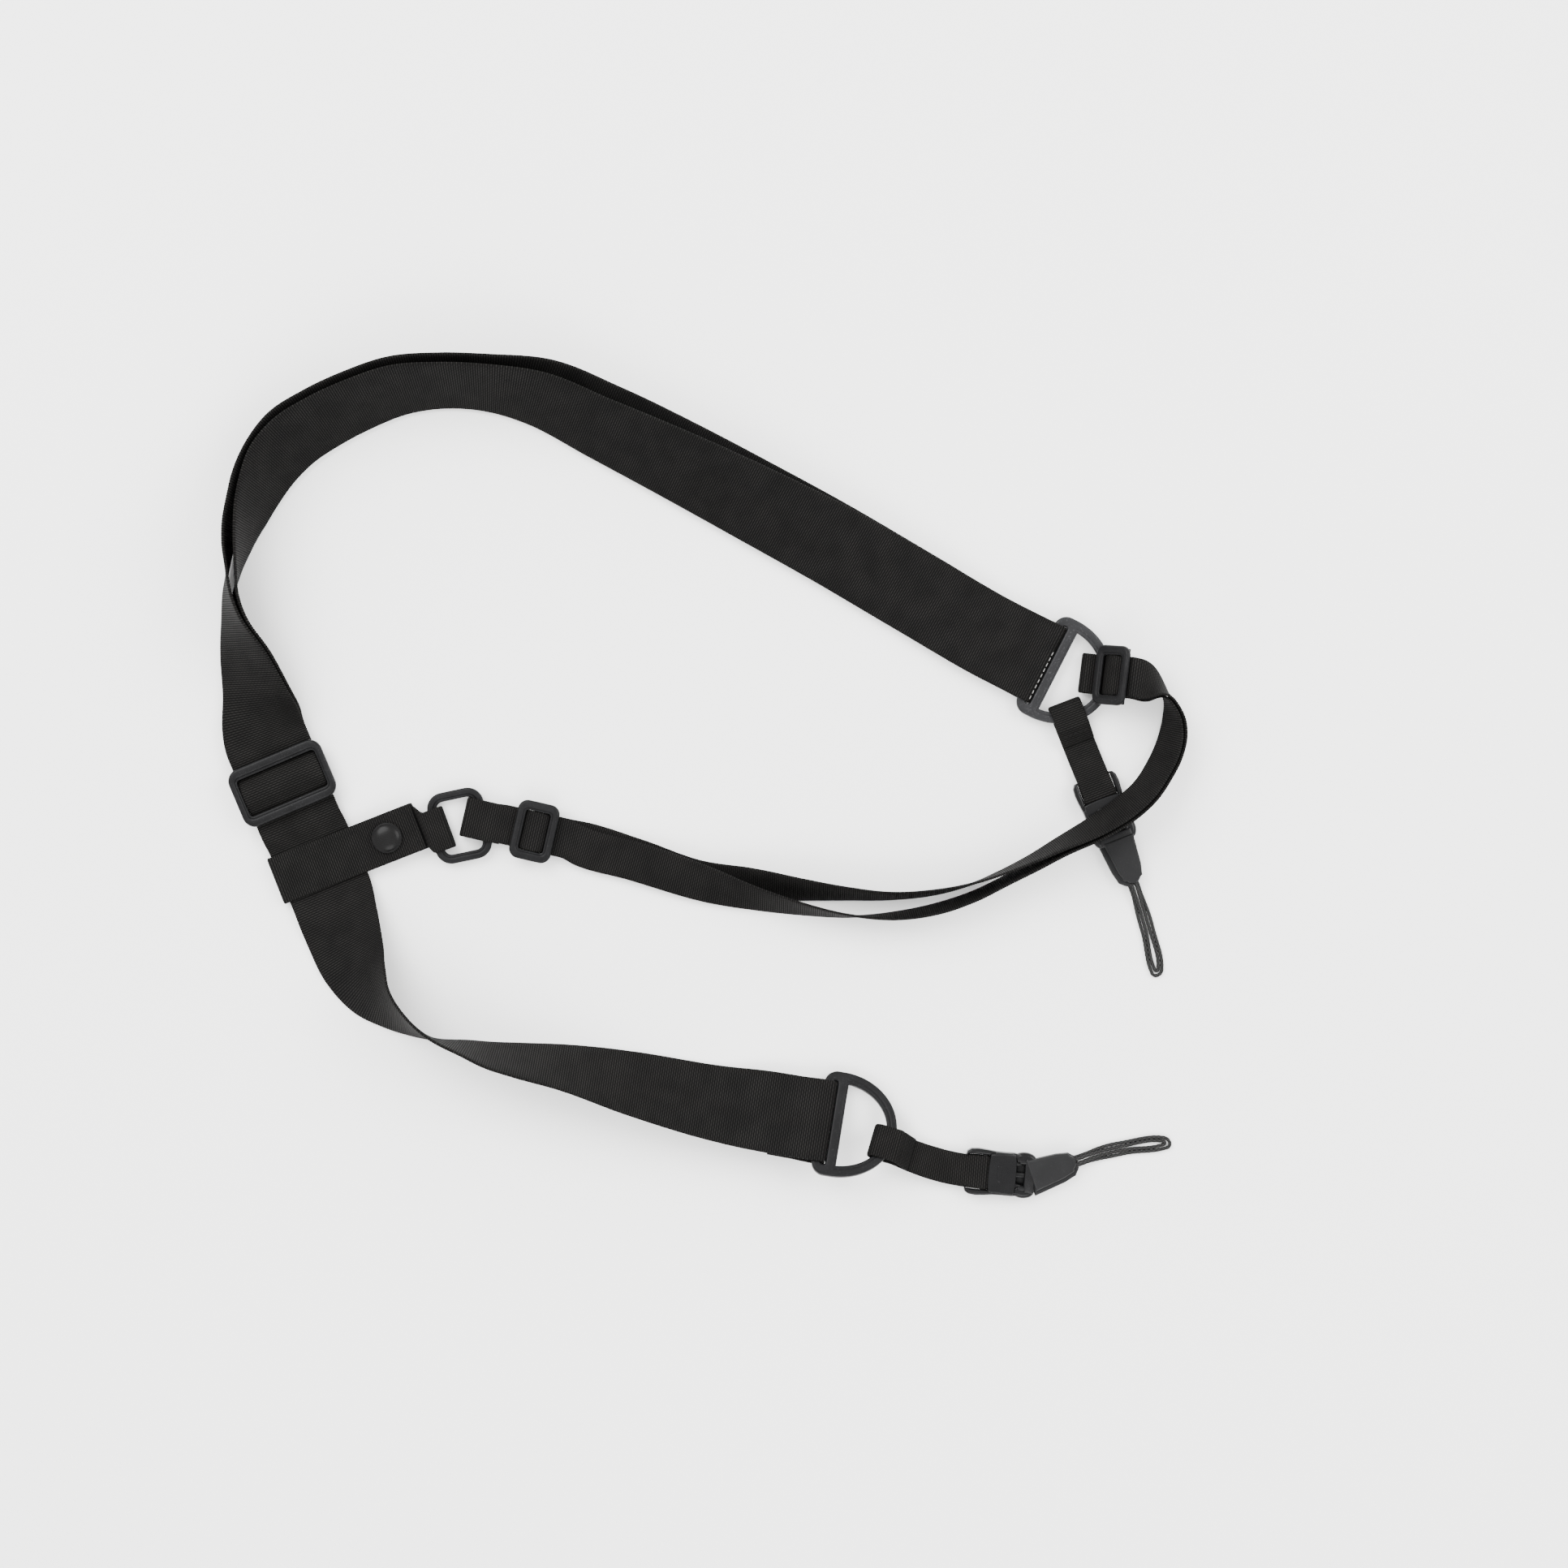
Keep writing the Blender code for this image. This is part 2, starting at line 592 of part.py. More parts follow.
def make_buckle_plug(name, frame, group, helper_group, turn):
    """Plug half: prongs in the socket, a shoulder at its mouth and a tapered cover for the cord."""
    half_y = BUCKLE_WIDTH / 2
    start = BUCKLE_ARM_FRONT + BUCKLE_FIT
    stop = start + PLUG_SHOULDER_LENGTH
    plug = block(name, start, stop, -half_y, half_y, 0.0, BUCKLE_HEIGHT)
    low = BUCKLE_WALL + BUCKLE_FIT
    high = BUCKLE_HEIGHT - BUCKLE_WALL - BUCKLE_FIT
    reach = CONNECTOR_WIDTH / 2 + SLIDER_SIDE_GAP - BUCKLE_FIT
    helpers = []
    for middle in (-reach + PLUG_PRONG_WIDTH / 2, 0.0, reach - PLUG_PRONG_WIDTH / 2):
        helpers.append(block(name + "_prong", start - PLUG_PRONG_LENGTH, start + EDGE_ROUND * 2,
                             middle - PLUG_PRONG_WIDTH / 2, middle + PLUG_PRONG_WIDTH / 2, low, high,
                             EDGE_ROUND / 2))
    root = half_y - EDGE_ROUND
    tip = COVER_TIP_WIDTH / 2
    outline = [(-EDGE_ROUND * 3, -root), (COVER_LENGTH * 0.22, -root * 0.9), (COVER_LENGTH * 0.86, -tip)]
    outline += arc(COVER_LENGTH - tip * 0.5, 0.0, tip * 0.5, tip * 0.8, -60, 60, 4)
    outline += [(x, -y) for x, y in reversed(outline[:3])]
    cover = plate(name + "_cover", [outline], EDGE_ROUND / 2, BUCKLE_HEIGHT - EDGE_ROUND / 2)
    cover.data.transform(cover_turn(turn))
    combine(plug, helpers + [cover], "UNION", helper_group)
    set_pose(plug, frame)
    finish_object(plug, group, "plastic")


def cover_turn(turn):
    """Place of the cover on its plug: at the shoulder's end, turned about the vertical."""
    stop = BUCKLE_ARM_FRONT + BUCKLE_FIT + PLUG_SHOULDER_LENGTH
    return Matrix.Translation((stop, 0.0, 0.0)) @ Matrix.Rotation(math.radians(turn), 4, "Z")


def make_cord_loop(name, key, plug_frame, group):
    """Thin cord loop that leaves the cover's tip, drops to the surface and comes back."""
    tip = Matrix.Translation((COVER_LENGTH + WEB_GAP, 0.0, BUCKLE_HEIGHT / 2))
    frame = plug_frame @ cover_turn(COVER_TURNS[key]) @ tip
    drop = BUCKLE_HEIGHT / 2 - CORD_DIAMETER * 0.55
    half = CORD_DIAMETER * 0.62
    length = CORD_LOOP_LENGTH
    bow = CORD_BOW[key] * length
    rows = [(0.0, half, 0.0), (0.10, half * 1.1, 0.30), (0.30, half * 1.6, 0.95), (0.55, half * 1.9, 1.0),
            (0.80, half * 2.2, 1.0), (0.95, half * 1.8, 1.0), (1.0, 0.0, 1.0)]
    knots = []
    for share, side, fall in rows + [(row[0], -row[1], row[2]) for row in reversed(rows[:-1])]:
        centre = Vector((share * length, side + bow * share * share, -drop * fall))
        knots.append((frame @ centre, UP.copy()))
    first = (knots[0][0] * 2 - knots[1][0], UP.copy())
    last = (knots[-1][0] * 2 - knots[-2][0], UP.copy())
    centres = [knots[0][0]]
    centres += [station[0] for station in smooth_run([first] + knots + [last], CORD_POINT_STEP)]
    centres.append(knots[-1][0])
    curve = bpy.data.curves.new(name, "CURVE")
    curve.dimensions = "3D"
    curve.bevel_depth = CORD_DIAMETER / 2
    curve.bevel_resolution = 2
    curve.use_fill_caps = True
    spline = curve.splines.new("POLY")
    spline.points.add(len(centres) - 1)
    for point, centre in zip(spline.points, centres):
        point.co = (*centre, 1.0)
    cord = bpy.data.objects.new(name, curve)
    group.objects.link(cord)
    curve.materials.append(make_material(name, "cord"))
    return cord




# Routes of the webbing

def mirrored(points, middle=0.0):
    """Points (x, z) reflected about x = middle."""
    return [(2 * middle - x, z) for x, z in points]


def slider_sewn_end(stack, depth, bar, thickness, tail):
    """Ribbon end sewn round a slider's bar: tail, round the bar, then out below it towards -X."""
    reach = depth / 2
    rise = stack["top"] - stack["tail"]
    points = [(-tail, stack["tail"]), (-reach, stack["tail"]), (-reach * 0.5, stack["tail"] + 0.12 * rise),
              (-bar * 1.05, stack["top"] - 0.1 * thickness)]
    points += bar_turn(0.0, stack["bar"], bar / 2, bar / 2, thickness, bar * 0.25)
    return points + [(-reach * 0.55, stack["lower"]), (-reach, stack["lower"]), (-reach * 1.5, stack["lower"])]


def slider_crossing(stack, depth, rail, bar, thickness):
    """Run that passes under a slider's first rail, over its bar and under its second rail."""
    reach = depth / 2
    rise = stack["over"] - stack["under"]
    half = [(-reach * 1.45, stack["under"]), (-reach, stack["under"]), (rail - reach, stack["under"]),
            (-reach * 0.5, stack["under"] + 0.45 * rise), (-bar, stack["over"] - 0.2 * thickness)]
    return half + [(0.0, stack["over"])] + mirrored(half)[::-1]


def ring_wrap(bar_x, tail):
    """Doubled run round a D-ring's slotted bar, converging on the ring's middle plane."""
    radius = ring_stack()[1]
    half_pitch = (SHOULDER_THICKNESS + LOOSE_GAP) / 2
    lead = [(bar_x - tail, half_pitch), (bar_x - 0.55 * tail, half_pitch * 1.2),
            (bar_x - RING_OUTER_BAR * 0.7, radius)]
    turn = bar_turn(bar_x, 0.0, RING_OUTER_BAR / 2, RING_THICKNESS / 2, SHOULDER_THICKNESS)
    return lead + turn + [(x, -z) for x, z in reversed(lead)]


def shoulder_route(frames):
    """Shoulder strap: sewn round its slider's bar, to D-ring A, back over the slider, to D-ring B."""
    thickness = SHOULDER_THICKNESS
    stack = slider_stack(thickness, SLIDER_BAR)
    slider = frames["strap_slider"]
    sewn_end = local_stations(slider, slider_sewn_end(stack, SLIDER_DEPTH, SLIDER_BAR, thickness, STRAP_TAIL), -1)
    over = slider_crossing(stack, SLIDER_DEPTH, SLIDER_RAIL, SLIDER_BAR, thickness)
    crossing = local_stations(slider, over, -1)
    outer_bar = -(RING_SLOT + RING_OUTER_BAR / 2)
    ring_a_loop = local_stations(frames["ring_a"], ring_wrap(outer_bar, STRAP_END_TAIL), -1)
    ring_b_loop = local_stations(frames["ring_b"], ring_wrap(outer_bar, STRAP_END_TAIL), 1)

    strap_z = thickness * 1.5 + WEB_GAP
    spot = frames["keeper"] @ Vector((0.0, 0.0, strap_z))
    direction = slider.to_3x3().col[0].normalized()
    across = -slider.to_3x3().col[1].normalized()
    half = KEEPER_WIDTH * 0.62
    beneath_keeper = [(spot + direction * share * half, across) for share in (-1.0, -0.3, 0.3, 1.0)]

    first, second = pair_stations(SHOULDER_PAIR, SHOULDER_WIDTH, thickness)
    single = single_stations(SHOULDER_SINGLE, SHOULDER_WIDTH, thickness)
    return join_route([sewn_end, second[::-1], ring_a_loop, first, crossing, [], beneath_keeper,
                       single, ring_b_loop])


def stabilizer_route(frames):
    """Stabilizer strap: sewn round slider 1, through slider 2 and D-ring A, back to the small ring."""
    thickness = NARROW_THICKNESS
    stack = slider_stack(thickness, SMALL_SLIDER_BAR)
    first_slider = frames["slider_1"]
    sewn = mirrored(slider_sewn_end(stack, SMALL_SLIDER_DEPTH, SMALL_SLIDER_BAR, thickness, STABILIZER_TAIL))
    sewn_end = local_stations(first_slider, sewn, 1)
    over = slider_crossing(stack, SMALL_SLIDER_DEPTH, SMALL_SLIDER_RAIL, SMALL_SLIDER_BAR, thickness)
    crossing = local_stations(first_slider, mirrored(over), 1)

    base = pose("slider_2")
    ring_middle = ring_stack()[0]
    radius = RING_THICKNESS / 2 + WEB_GAP + thickness / 2
    low = ring_middle - radius
    centre = STABILIZER_FOLD - radius
    beneath = [(-0.4 * STABILIZER_FOLD, low * 1.6), (0.0, low), (centre * 0.6, low)]
    around = fold_turn(centre, ring_middle, radius)[::-1]
    round_ring = local_stations(base, beneath + around + [(centre * 0.8, ring_middle + radius)], 1)
    through = local_stations(frames["slider_2"], mirrored(over[1:-1]), 1)

    ring_bar = SMALL_RING_DEPTH / 2 - SMALL_RING_BAND / 2
    ring_radius = SMALL_RING_THICKNESS / 2 + WEB_GAP + thickness / 2
    lead = [(ring_bar + SMALL_RING_BAND * 0.75, ring_radius)]
    half_bar = SMALL_RING_BAND / 2
    wrap = mirrored(bar_turn(ring_bar, 0.0, half_bar, SMALL_RING_THICKNESS / 2, thickness), ring_bar)
    tail = [(ring_bar + 0.5 * STABILIZER_END_TAIL, -ring_radius), (ring_bar + STABILIZER_END_TAIL, -ring_radius)]
    ring_end = local_stations(frames["small_ring"], lead + wrap + tail, 1)

    first, second = pair_stations(STABILIZER_PAIR, STABILIZER_WIDTH, thickness)
    return join_route([sewn_end, first, round_ring, [], through, second[::-1], crossing, [], ring_end])


def keeper_heights():
    """Heights of the keeper's lower layer, of its run over the strap and of its run over the tab."""
    pitch = SHOULDER_THICKNESS + WEB_GAP
    lower = SHOULDER_THICKNESS / 2
    return lower, lower + 2 * pitch, lower + pitch + 2 * (NARROW_THICKNESS + WEB_GAP)


def keeper_ends():
    left = -(SHOULDER_WIDTH / 2 + 3 * WEB_GAP + SHOULDER_THICKNESS / 2)
    return left, left + KEEPER_LENGTH


def keeper_route(frame):
    """Keeper band: from its free end over the shoulder strap, round its edge and back beneath."""
    lower, over_strap, over_tab = keeper_heights()
    left, right = keeper_ends()
    radius = (over_strap - lower) / 2
    strap_edge = SHOULDER_WIDTH / 2
    middle = left + radius
    points = [(right, over_tab), (right - TAB_INSERT, over_tab), (SNAP_FROM_CENTRE, over_tab),
              (strap_edge + 0.2 * (SNAP_FROM_CENTRE - strap_edge), over_strap), (0.0, over_strap),
              (middle + radius, over_strap)]
    points += mirrored(fold_turn(middle, lower + radius, radius), middle)
    points += [(middle + radius, lower), (0.0, lower), (strap_edge, lower), (SNAP_FROM_CENTRE, lower),
               (right, lower)]
    return local_stations(frame, points, 1)


def tab_route(keeper, ring):
    """Tab: from between the keeper's layers, round the small ring's near bar and back."""
    lower, _, over_tab = keeper_heights()
    right = keeper_ends()[1]
    pitch = NARROW_THICKNESS + WEB_GAP
    upper = over_tab - (SHOULDER_THICKNESS + NARROW_THICKNESS) / 2 - WEB_GAP
    inside = [(right - TAB_INSERT, upper), (right, upper)]
    bar = -(SMALL_RING_DEPTH / 2 - SMALL_RING_BAND / 2)
    radius = SMALL_RING_THICKNESS / 2 + WEB_GAP + NARROW_THICKNESS / 2
    start = local_stations(keeper, inside, 1)
    turn = bar_turn(bar, 0.0, SMALL_RING_BAND / 2, SMALL_RING_THICKNESS / 2, NARROW_THICKNESS)
    near = bar - SMALL_RING_BAND * 0.75
    wrap = local_stations(ring, [(near, radius)] + turn + [(near, -radius)], 1)
    stop = local_stations(keeper, [(x, z - pitch) for x, z in reversed(inside)], 1)
    return join_route([start, [], wrap, [], stop])


def connector_route(ring_frame, buckle_frame, height):
    """Connector: sewn step, round the D-ring's arc, on to the buckle's bar and a short way back."""
    thickness = NARROW_THICKNESS
    radius = RING_THICKNESS / 2 + WEB_GAP + thickness / 2
    pitch = thickness + WEB_GAP
    settle = radius - height
    over = [(CONNECTOR_STEP, settle * 0.6 + pitch - radius * 0.6), (0.62 * CONNECTOR_STEP, radius), (radius, radius)]
    turn = mirrored(fold_turn(radius, 0.0, radius), radius)
    below = [(radius, -radius), (0.62 * CONNECTOR_STEP, -radius), (CONNECTOR_STEP, settle * 0.6 - radius * 0.6)]
    loop = local_stations(ring_frame, over + turn[1:-1] + below, 1)
    middle = BUCKLE_HEIGHT / 2
    bar_radius = BUCKLE_BAR / 2 + WEB_GAP + thickness / 2
    bar = [(-0.010, middle), (-0.0045, middle + bar_radius * 0.8)]
    bar += bar_turn(0.0, middle, BUCKLE_BAR / 2, BUCKLE_BAR / 2, thickness, BUCKLE_BAR * 0.25)
    bar += [(-0.0045, middle - bar_radius * 0.8), (-CONNECTOR_TAIL, middle - bar_radius * 0.8)]
    return join_route([loop, [], local_stations(buckle_frame, bar, 1)])


def settle(root, group, cords):
    """Move the strap so that its outline, without the cords, is centred over the origin at Z = 0."""
    bpy.context.view_layer.update()
    graph = bpy.context.evaluated_depsgraph_get()
    points = []
    for piece in group.objects:
        if piece.type == "MESH" and piece.name not in cords:
            solid = piece.evaluated_get(graph)
            points += [solid.matrix_world @ vertex.co for vertex in solid.data.vertices]
    low = Vector([min(point[i] for point in points) for i in range(3)])
    high = Vector([max(point[i] for point in points) for i in range(3)])
    root.location = (-(low.x + high.x) / 2, -(low.y + high.y) / 2, -low.z)


def main():
    clear_scene()
    group = new_collection("camera_stabilizer_strap")
    helper_group = new_collection("cutters")

    ring_height = ring_stack()[0]
    roll = math.radians(abs(PLACES["ring_b"][3]))
    ring_b_height = max(RING_HALF_LENGTH * math.sin(roll) + RING_THICKNESS / 2,
                        SHOULDER_WIDTH / 2 * math.sin(roll) + ring_height * math.cos(roll))
    small_ring_height = NARROW_THICKNESS + WEB_GAP + SMALL_RING_THICKNESS / 2
    small_stack = slider_stack(NARROW_THICKNESS, SMALL_SLIDER_BAR)
    tilt = math.radians(SLIDER_2_PITCH)
    slider_2_lift = (ring_height + RING_THICKNESS / 2 + NARROW_THICKNESS + 3 * WEB_GAP
                     + SMALL_SLIDER_DEPTH / 2 * math.sin(tilt) - small_stack["rail"] * math.cos(tilt))
    frames = {
        "ring_a": pose("ring_a", ring_height),
        "ring_b": pose("ring_b", ring_b_height),
        "strap_slider": pose("strap_slider"),
        "keeper": pose("keeper"),
        "small_ring": pose("small_ring", small_ring_height),
        "slider_1": pose("slider_1"),
        "slider_2": pose("slider_2", slider_2_lift, SLIDER_2_PITCH),
        "buckle_a": pose("buckle_a"),
        "buckle_b": pose("buckle_b"),
    }

    make_ribbon("shoulder_strap", shoulder_route(frames), SHOULDER_WIDTH, SHOULDER_THICKNESS, group)
    make_ribbon("stabilizer_strap", stabilizer_route(frames), STABILIZER_WIDTH, NARROW_THICKNESS, group)
    make_ribbon("keeper_band", keeper_route(frames["keeper"]), KEEPER_WIDTH, SHOULDER_THICKNESS, group)
    make_ribbon("tab_loop", tab_route(frames["keeper"], frames["small_ring"]), TAB_WIDTH, NARROW_THICKNESS, group)

    make_d_ring("ring_a", frames["ring_a"], group)
    make_d_ring("ring_b", frames["ring_b"], group)
    make_slider("strap_slider", frames["strap_slider"], SLIDER_LENGTH, SLIDER_DEPTH, SLIDER_RAIL, SLIDER_HEIGHT,
                SLIDER_BAR, SHOULDER_WIDTH, SHOULDER_THICKNESS, group, helper_group)
    for name in ("slider_1", "slider_2"):
        make_slider(name, frames[name], SMALL_SLIDER_LENGTH, SMALL_SLIDER_DEPTH, SMALL_SLIDER_RAIL,
                    SMALL_SLIDER_HEIGHT, SMALL_SLIDER_BAR, STABILIZER_WIDTH, NARROW_THICKNESS, group, helper_group)
    make_small_ring(frames["small_ring"], group)

    lower, _, over_tab = keeper_heights()
    cap_base = over_tab + SHOULDER_THICKNESS / 2 + WEB_GAP
    cap_profile = [(0.0, SNAP_CAP_HEIGHT), (SNAP_CAP_RADIUS * 0.45, SNAP_CAP_HEIGHT * 0.93),
                   (SNAP_CAP_RADIUS * 0.8, SNAP_CAP_HEIGHT * 0.68), (SNAP_CAP_RADIUS * 0.97, SNAP_CAP_HEIGHT * 0.32),
                   (SNAP_CAP_RADIUS, 0.0), (0.0, 0.0)]
    snap_spot = Matrix.Translation((SNAP_FROM_CENTRE, 0.0, cap_base))
    turned("snap_cap", cap_profile, frames["keeper"] @ snap_spot, group, "snap")
    stud_base = lower + SHOULDER_THICKNESS / 2 + WEB_GAP
    stud_height = over_tab - lower - SHOULDER_THICKNESS - 3.2 * WEB_GAP
    stud_profile = [(0.0, stud_height), (SNAP_STUD_RADIUS, stud_height), (SNAP_STUD_RADIUS, 0.0), (0.0, 0.0)]
    stud_spot = Matrix.Translation((SNAP_FROM_CENTRE, 0.0, stud_base))
    turned("snap_stud", stud_profile, frames["keeper"] @ stud_spot, group, "snap", 16)

    heights = {"a": ring_height, "b": ring_b_height}
    for key in ("a", "b"):
        depth_share, side_share, turn = CONNECTOR_PLACES[key]
        spot = Matrix.Translation((depth_share * RING_DEPTH, side_share * RING_HALF_LENGTH, 0.0))
        fold = frames["ring_" + key] @ spot @ Matrix.Rotation(math.radians(turn), 4, "Z")
        route = connector_route(fold, frames["buckle_" + key], heights[key])
        make_ribbon("connector_webbing_" + key, route, CONNECTOR_WIDTH, NARROW_THICKNESS, group)
        make_buckle_body("buckle_body_" + key, frames["buckle_" + key], group, helper_group)
        make_buckle_plug("buckle_plug_" + key, frames["buckle_" + key], group, helper_group, COVER_TURNS[key])
        make_cord_loop("cord_loop_" + key, key, frames["buckle_" + key], group)

    root = bpy.data.objects.new("camera_stabilizer_strap", None)
    group.objects.link(root)
    for piece in group.objects:
        if piece is not root and piece.parent is None:
            piece.parent = root
    settle(root, group, ("cord_loop_a", "cord_loop_b"))


main()
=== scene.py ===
# A webbing camera strap with a stabilizing strap, lying on a pale floor, dressed over its solid model
import math
import random

import bmesh
import bpy
from mathutils import Matrix, Vector


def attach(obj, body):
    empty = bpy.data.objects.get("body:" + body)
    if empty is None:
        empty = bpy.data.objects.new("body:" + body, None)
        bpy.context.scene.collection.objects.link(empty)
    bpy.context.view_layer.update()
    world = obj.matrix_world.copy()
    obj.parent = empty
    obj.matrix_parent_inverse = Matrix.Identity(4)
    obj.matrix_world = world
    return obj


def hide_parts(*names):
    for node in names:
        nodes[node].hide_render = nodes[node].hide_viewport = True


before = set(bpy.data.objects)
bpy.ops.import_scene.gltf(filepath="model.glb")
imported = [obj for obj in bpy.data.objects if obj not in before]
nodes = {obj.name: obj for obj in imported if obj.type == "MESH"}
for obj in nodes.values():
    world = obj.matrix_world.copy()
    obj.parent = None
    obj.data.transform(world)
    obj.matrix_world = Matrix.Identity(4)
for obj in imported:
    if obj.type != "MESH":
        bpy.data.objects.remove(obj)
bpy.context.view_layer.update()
bpy.ops.object.select_all(action="DESELECT")
up = Vector((0.0, 0.0, 1.0))
mm = 0.001

# Camera: straight above the strap, as it was photographed

camera = {"x": 0.0379, "y": -0.0026, "height": 1.40, "lens": 70.0}

bpy.ops.object.camera_add(location=(camera["x"], camera["y"], camera["height"]), rotation=(0, 0, 0))
viewer = bpy.context.object
viewer.name = "topCamera"
viewer.data.lens = camera["lens"]
viewer.data.clip_start = 0.01
bpy.context.scene.camera = viewer
print("camera set")

# The lay: sizes in metres, places as shares of the lay with a heading and roll in degrees

lay = {"length": 0.444, "width": 0.380, "shift": (-0.000111, -0.001168, 0.000469)}

strap = {"width": 0.038, "thickness": 0.0015, "pitch": 0.00102, "floatWidth": 0.0021, "tail": 0.0185,
         "endTail": 0.0225}
narrow = {"width": 0.018, "thickness": 0.0013, "pitch": 0.00098, "floatWidth": 0.0018, "tail": 0.017,
          "endTail": 0.009, "fold": 0.0173}
keeper = {"width": 0.022, "length": 0.070, "tabWidth": 0.0195, "tabInsert": 0.008, "snapAt": 0.0339}
link = {"width": 0.015, "step": 0.019, "tail": 0.008}
webbing = {"gap": 0.00035, "looseGap": 0.0011, "freeStep": 0.0016, "ribHeight": 0.00010}
edgeRound = 0.0008

# the folds round the small ring lie askew in it, with some slack
folds = {"tabSlack": 0.0026, "tabTurn": 8.0, "narrowSlack": 0.0054, "narrowTurn": -25.0}

ring = {"thickness": 0.0040, "halfLength": 0.0245, "depth": 0.029, "innerBar": 0.004, "outerBar": 0.0042,
        "slot": 0.003, "band": 0.0046, "corner": 0.006}
bigSlider = {"length": 0.0455, "depth": 0.028, "rail": 0.0042, "height": 0.0036, "bar": 0.003}
smallSlider = {"length": 0.0272, "depth": 0.0193, "rail": 0.0032, "height": 0.0028, "bar": 0.0022}
smallRing = {"length": 0.033, "depth": 0.0262, "band": 0.0042, "thickness": 0.0032, "corner": 0.0075}
snap = {"radius": 0.007, "height": 0.0026}
buckle = {"width": 0.0175, "height": 0.0076, "bodyStart": 0.0036, "bodyLength": 0.0092, "armBack": 0.009,
          "armFront": 0.0165, "armWidth": 0.0018, "wall": 0.0015, "bar": 0.0024, "fit": 0.0005,
          "shoulder": 0.0055, "coverLength": 0.0215, "coverTip": 0.0105}

places = {
    "ring_a": (0.860, 0.637, -27.0, 0.0),
    "ring_b": (0.6365, 0.0890, -9.9, -21.0),
    "strap_slider": (0.0698, 0.4971, -67.1, 0.0),
    "keeper": (0.1060, 0.3990, 21.4, 0.0),
    "small_ring": (0.2510, 0.4460, 12.0, 0.0),
    "slider_1": (0.3288, 0.4391, -13.0, 0.0),
    "slider_2": (0.9310, 0.6247, 173.0, 0.0),
    "buckle_a": (0.9109, 0.4824, -69.0, 0.0),
    "buckle_b": (0.7923, 0.0290, -5.0, 0.0),
}
slider2Pitch = 48.0
linkPlaces = {"a": (0.450, -0.484, -42.0), "b": (0.640, -0.180, -7.0)}
coverTurns = {"a": 0.0, "b": 24.0}

# Route rows: share along X, share along Y, leans of the two runs in degrees, extra spread, lift
strapPairRows = [
    (0.698, 0.685, -8, -10, 0.0), (0.607, 0.748, -14, -18, 0.0), (0.536, 0.795, -20, -28, 0.0),
    (0.463, 0.843, -26, -38, 0.0), (0.385, 0.893, -34, -48, 0.0), (0.320, 0.934, -46, -56, 0.0),
    (0.283, 0.948, -58, -63, 0.0), (0.239, 0.953, -61, -65, 0.0), (0.197, 0.946, -58, -62, 0.0),
    (0.160, 0.929, -56, -60, 0.0), (0.126, 0.908, -54, -58, 0.0), (0.098, 0.886, -53, -57, 0.0),
    (0.076, 0.860, -58, -60, 0.0), (0.059, 0.838, -68, -67, 0.06), (0.044, 0.816, -79, -75, 0.12),
    (0.0330, 0.799, -87, -83, 0.15), (0.0245, 0.778, -93, -90, 0.13), (0.0175, 0.754, -99, -97, 0.08),
    (0.0115, 0.726, -105, -103, 0.05), (0.0080, 0.694, -113, -113, 0.0), (0.0065, 0.653, -131, -131, 0.0),
    (0.0085, 0.604, -149, -149, 0.0),
]
strapSingleRows = [
    (0.0925, 0.304, -167), (0.1130, 0.256, -153), (0.1410, 0.221, -138), (0.1700, 0.204, -121),
    (0.2000, 0.193, -106), (0.2290, 0.187, -95), (0.2600, 0.186, -85), (0.2840, 0.184, -78),
    (0.3120, 0.183, -72), (0.3620, 0.181, -63), (0.4350, 0.172, -47), (0.5190, 0.156, -33),
]
narrowPairRows = [
    (0.3690, 0.4020, 1, 2, -0.12, 0.0), (0.4260, 0.3825, 5, 7, -0.10, 0.0), (0.4950, 0.3575, 14, 22, 0.0, 0.0),
    (0.5510, 0.3500, 32, 50, 0.12, 0.0), (0.6060, 0.3470, 56, 71, 0.25, 0.0), (0.6490, 0.3460, 69, 84, 0.30, 0.0),
    (0.6970, 0.3490, 78, 98, 0.20, 0.0), (0.7390, 0.3565, 81, 103, 0.10, 0.0), (0.7800, 0.3710, 87, 102, 0.05, 0.0),
    (0.8090, 0.3870, 93, 101, 0.03, 0.05), (0.8370, 0.4050, 99, 103, 0.02, 0.15),
    (0.8650, 0.4270, 108, 109, 0.0, 0.30), (0.9030, 0.4560, 120, 120, 0.0, 0.50),
    (0.9280, 0.4770, 124, 124, 0.0, 0.50), (0.9480, 0.4980, 124, 124, 0.0, 0.38),
    (0.9605, 0.5190, 124, 124, 0.0, 0.20), (0.9700, 0.5400, 124, 124, 0.0, 0.06),
    (0.9765, 0.5610, 119, 119, 0.0, 0.0), (0.9800, 0.5790, 108, 108, 0.0, 0.0), (0.9815, 0.5950, 92, 92, 0.0, 0.02),
]


def place(xShare, yShare):
    shift = Vector(lay["shift"])
    return Vector(((xShare - 0.5) * lay["length"], (yShare - 0.5) * lay["width"], 0.0)) + shift


def pose(name, height=0.0, pitch=0.0):
    xShare, yShare, heading, roll = places[name]
    turn = Matrix.Rotation(math.radians(heading), 4, "Z")
    tip = Matrix.Rotation(math.radians(roll), 4, "X") @ Matrix.Rotation(math.radians(pitch), 4, "Y")
    return Matrix.Translation(place(xShare, yShare) + up * height) @ turn @ tip


# Webbing routes: a station is a centre point and the direction across the webbing

def localStations(spot, points, side):
    across = (spot.to_3x3() @ Vector((0.0, side, 0.0))).normalized()
    return [(spot @ Vector((x, 0.0, z)), across) for x, z in points]


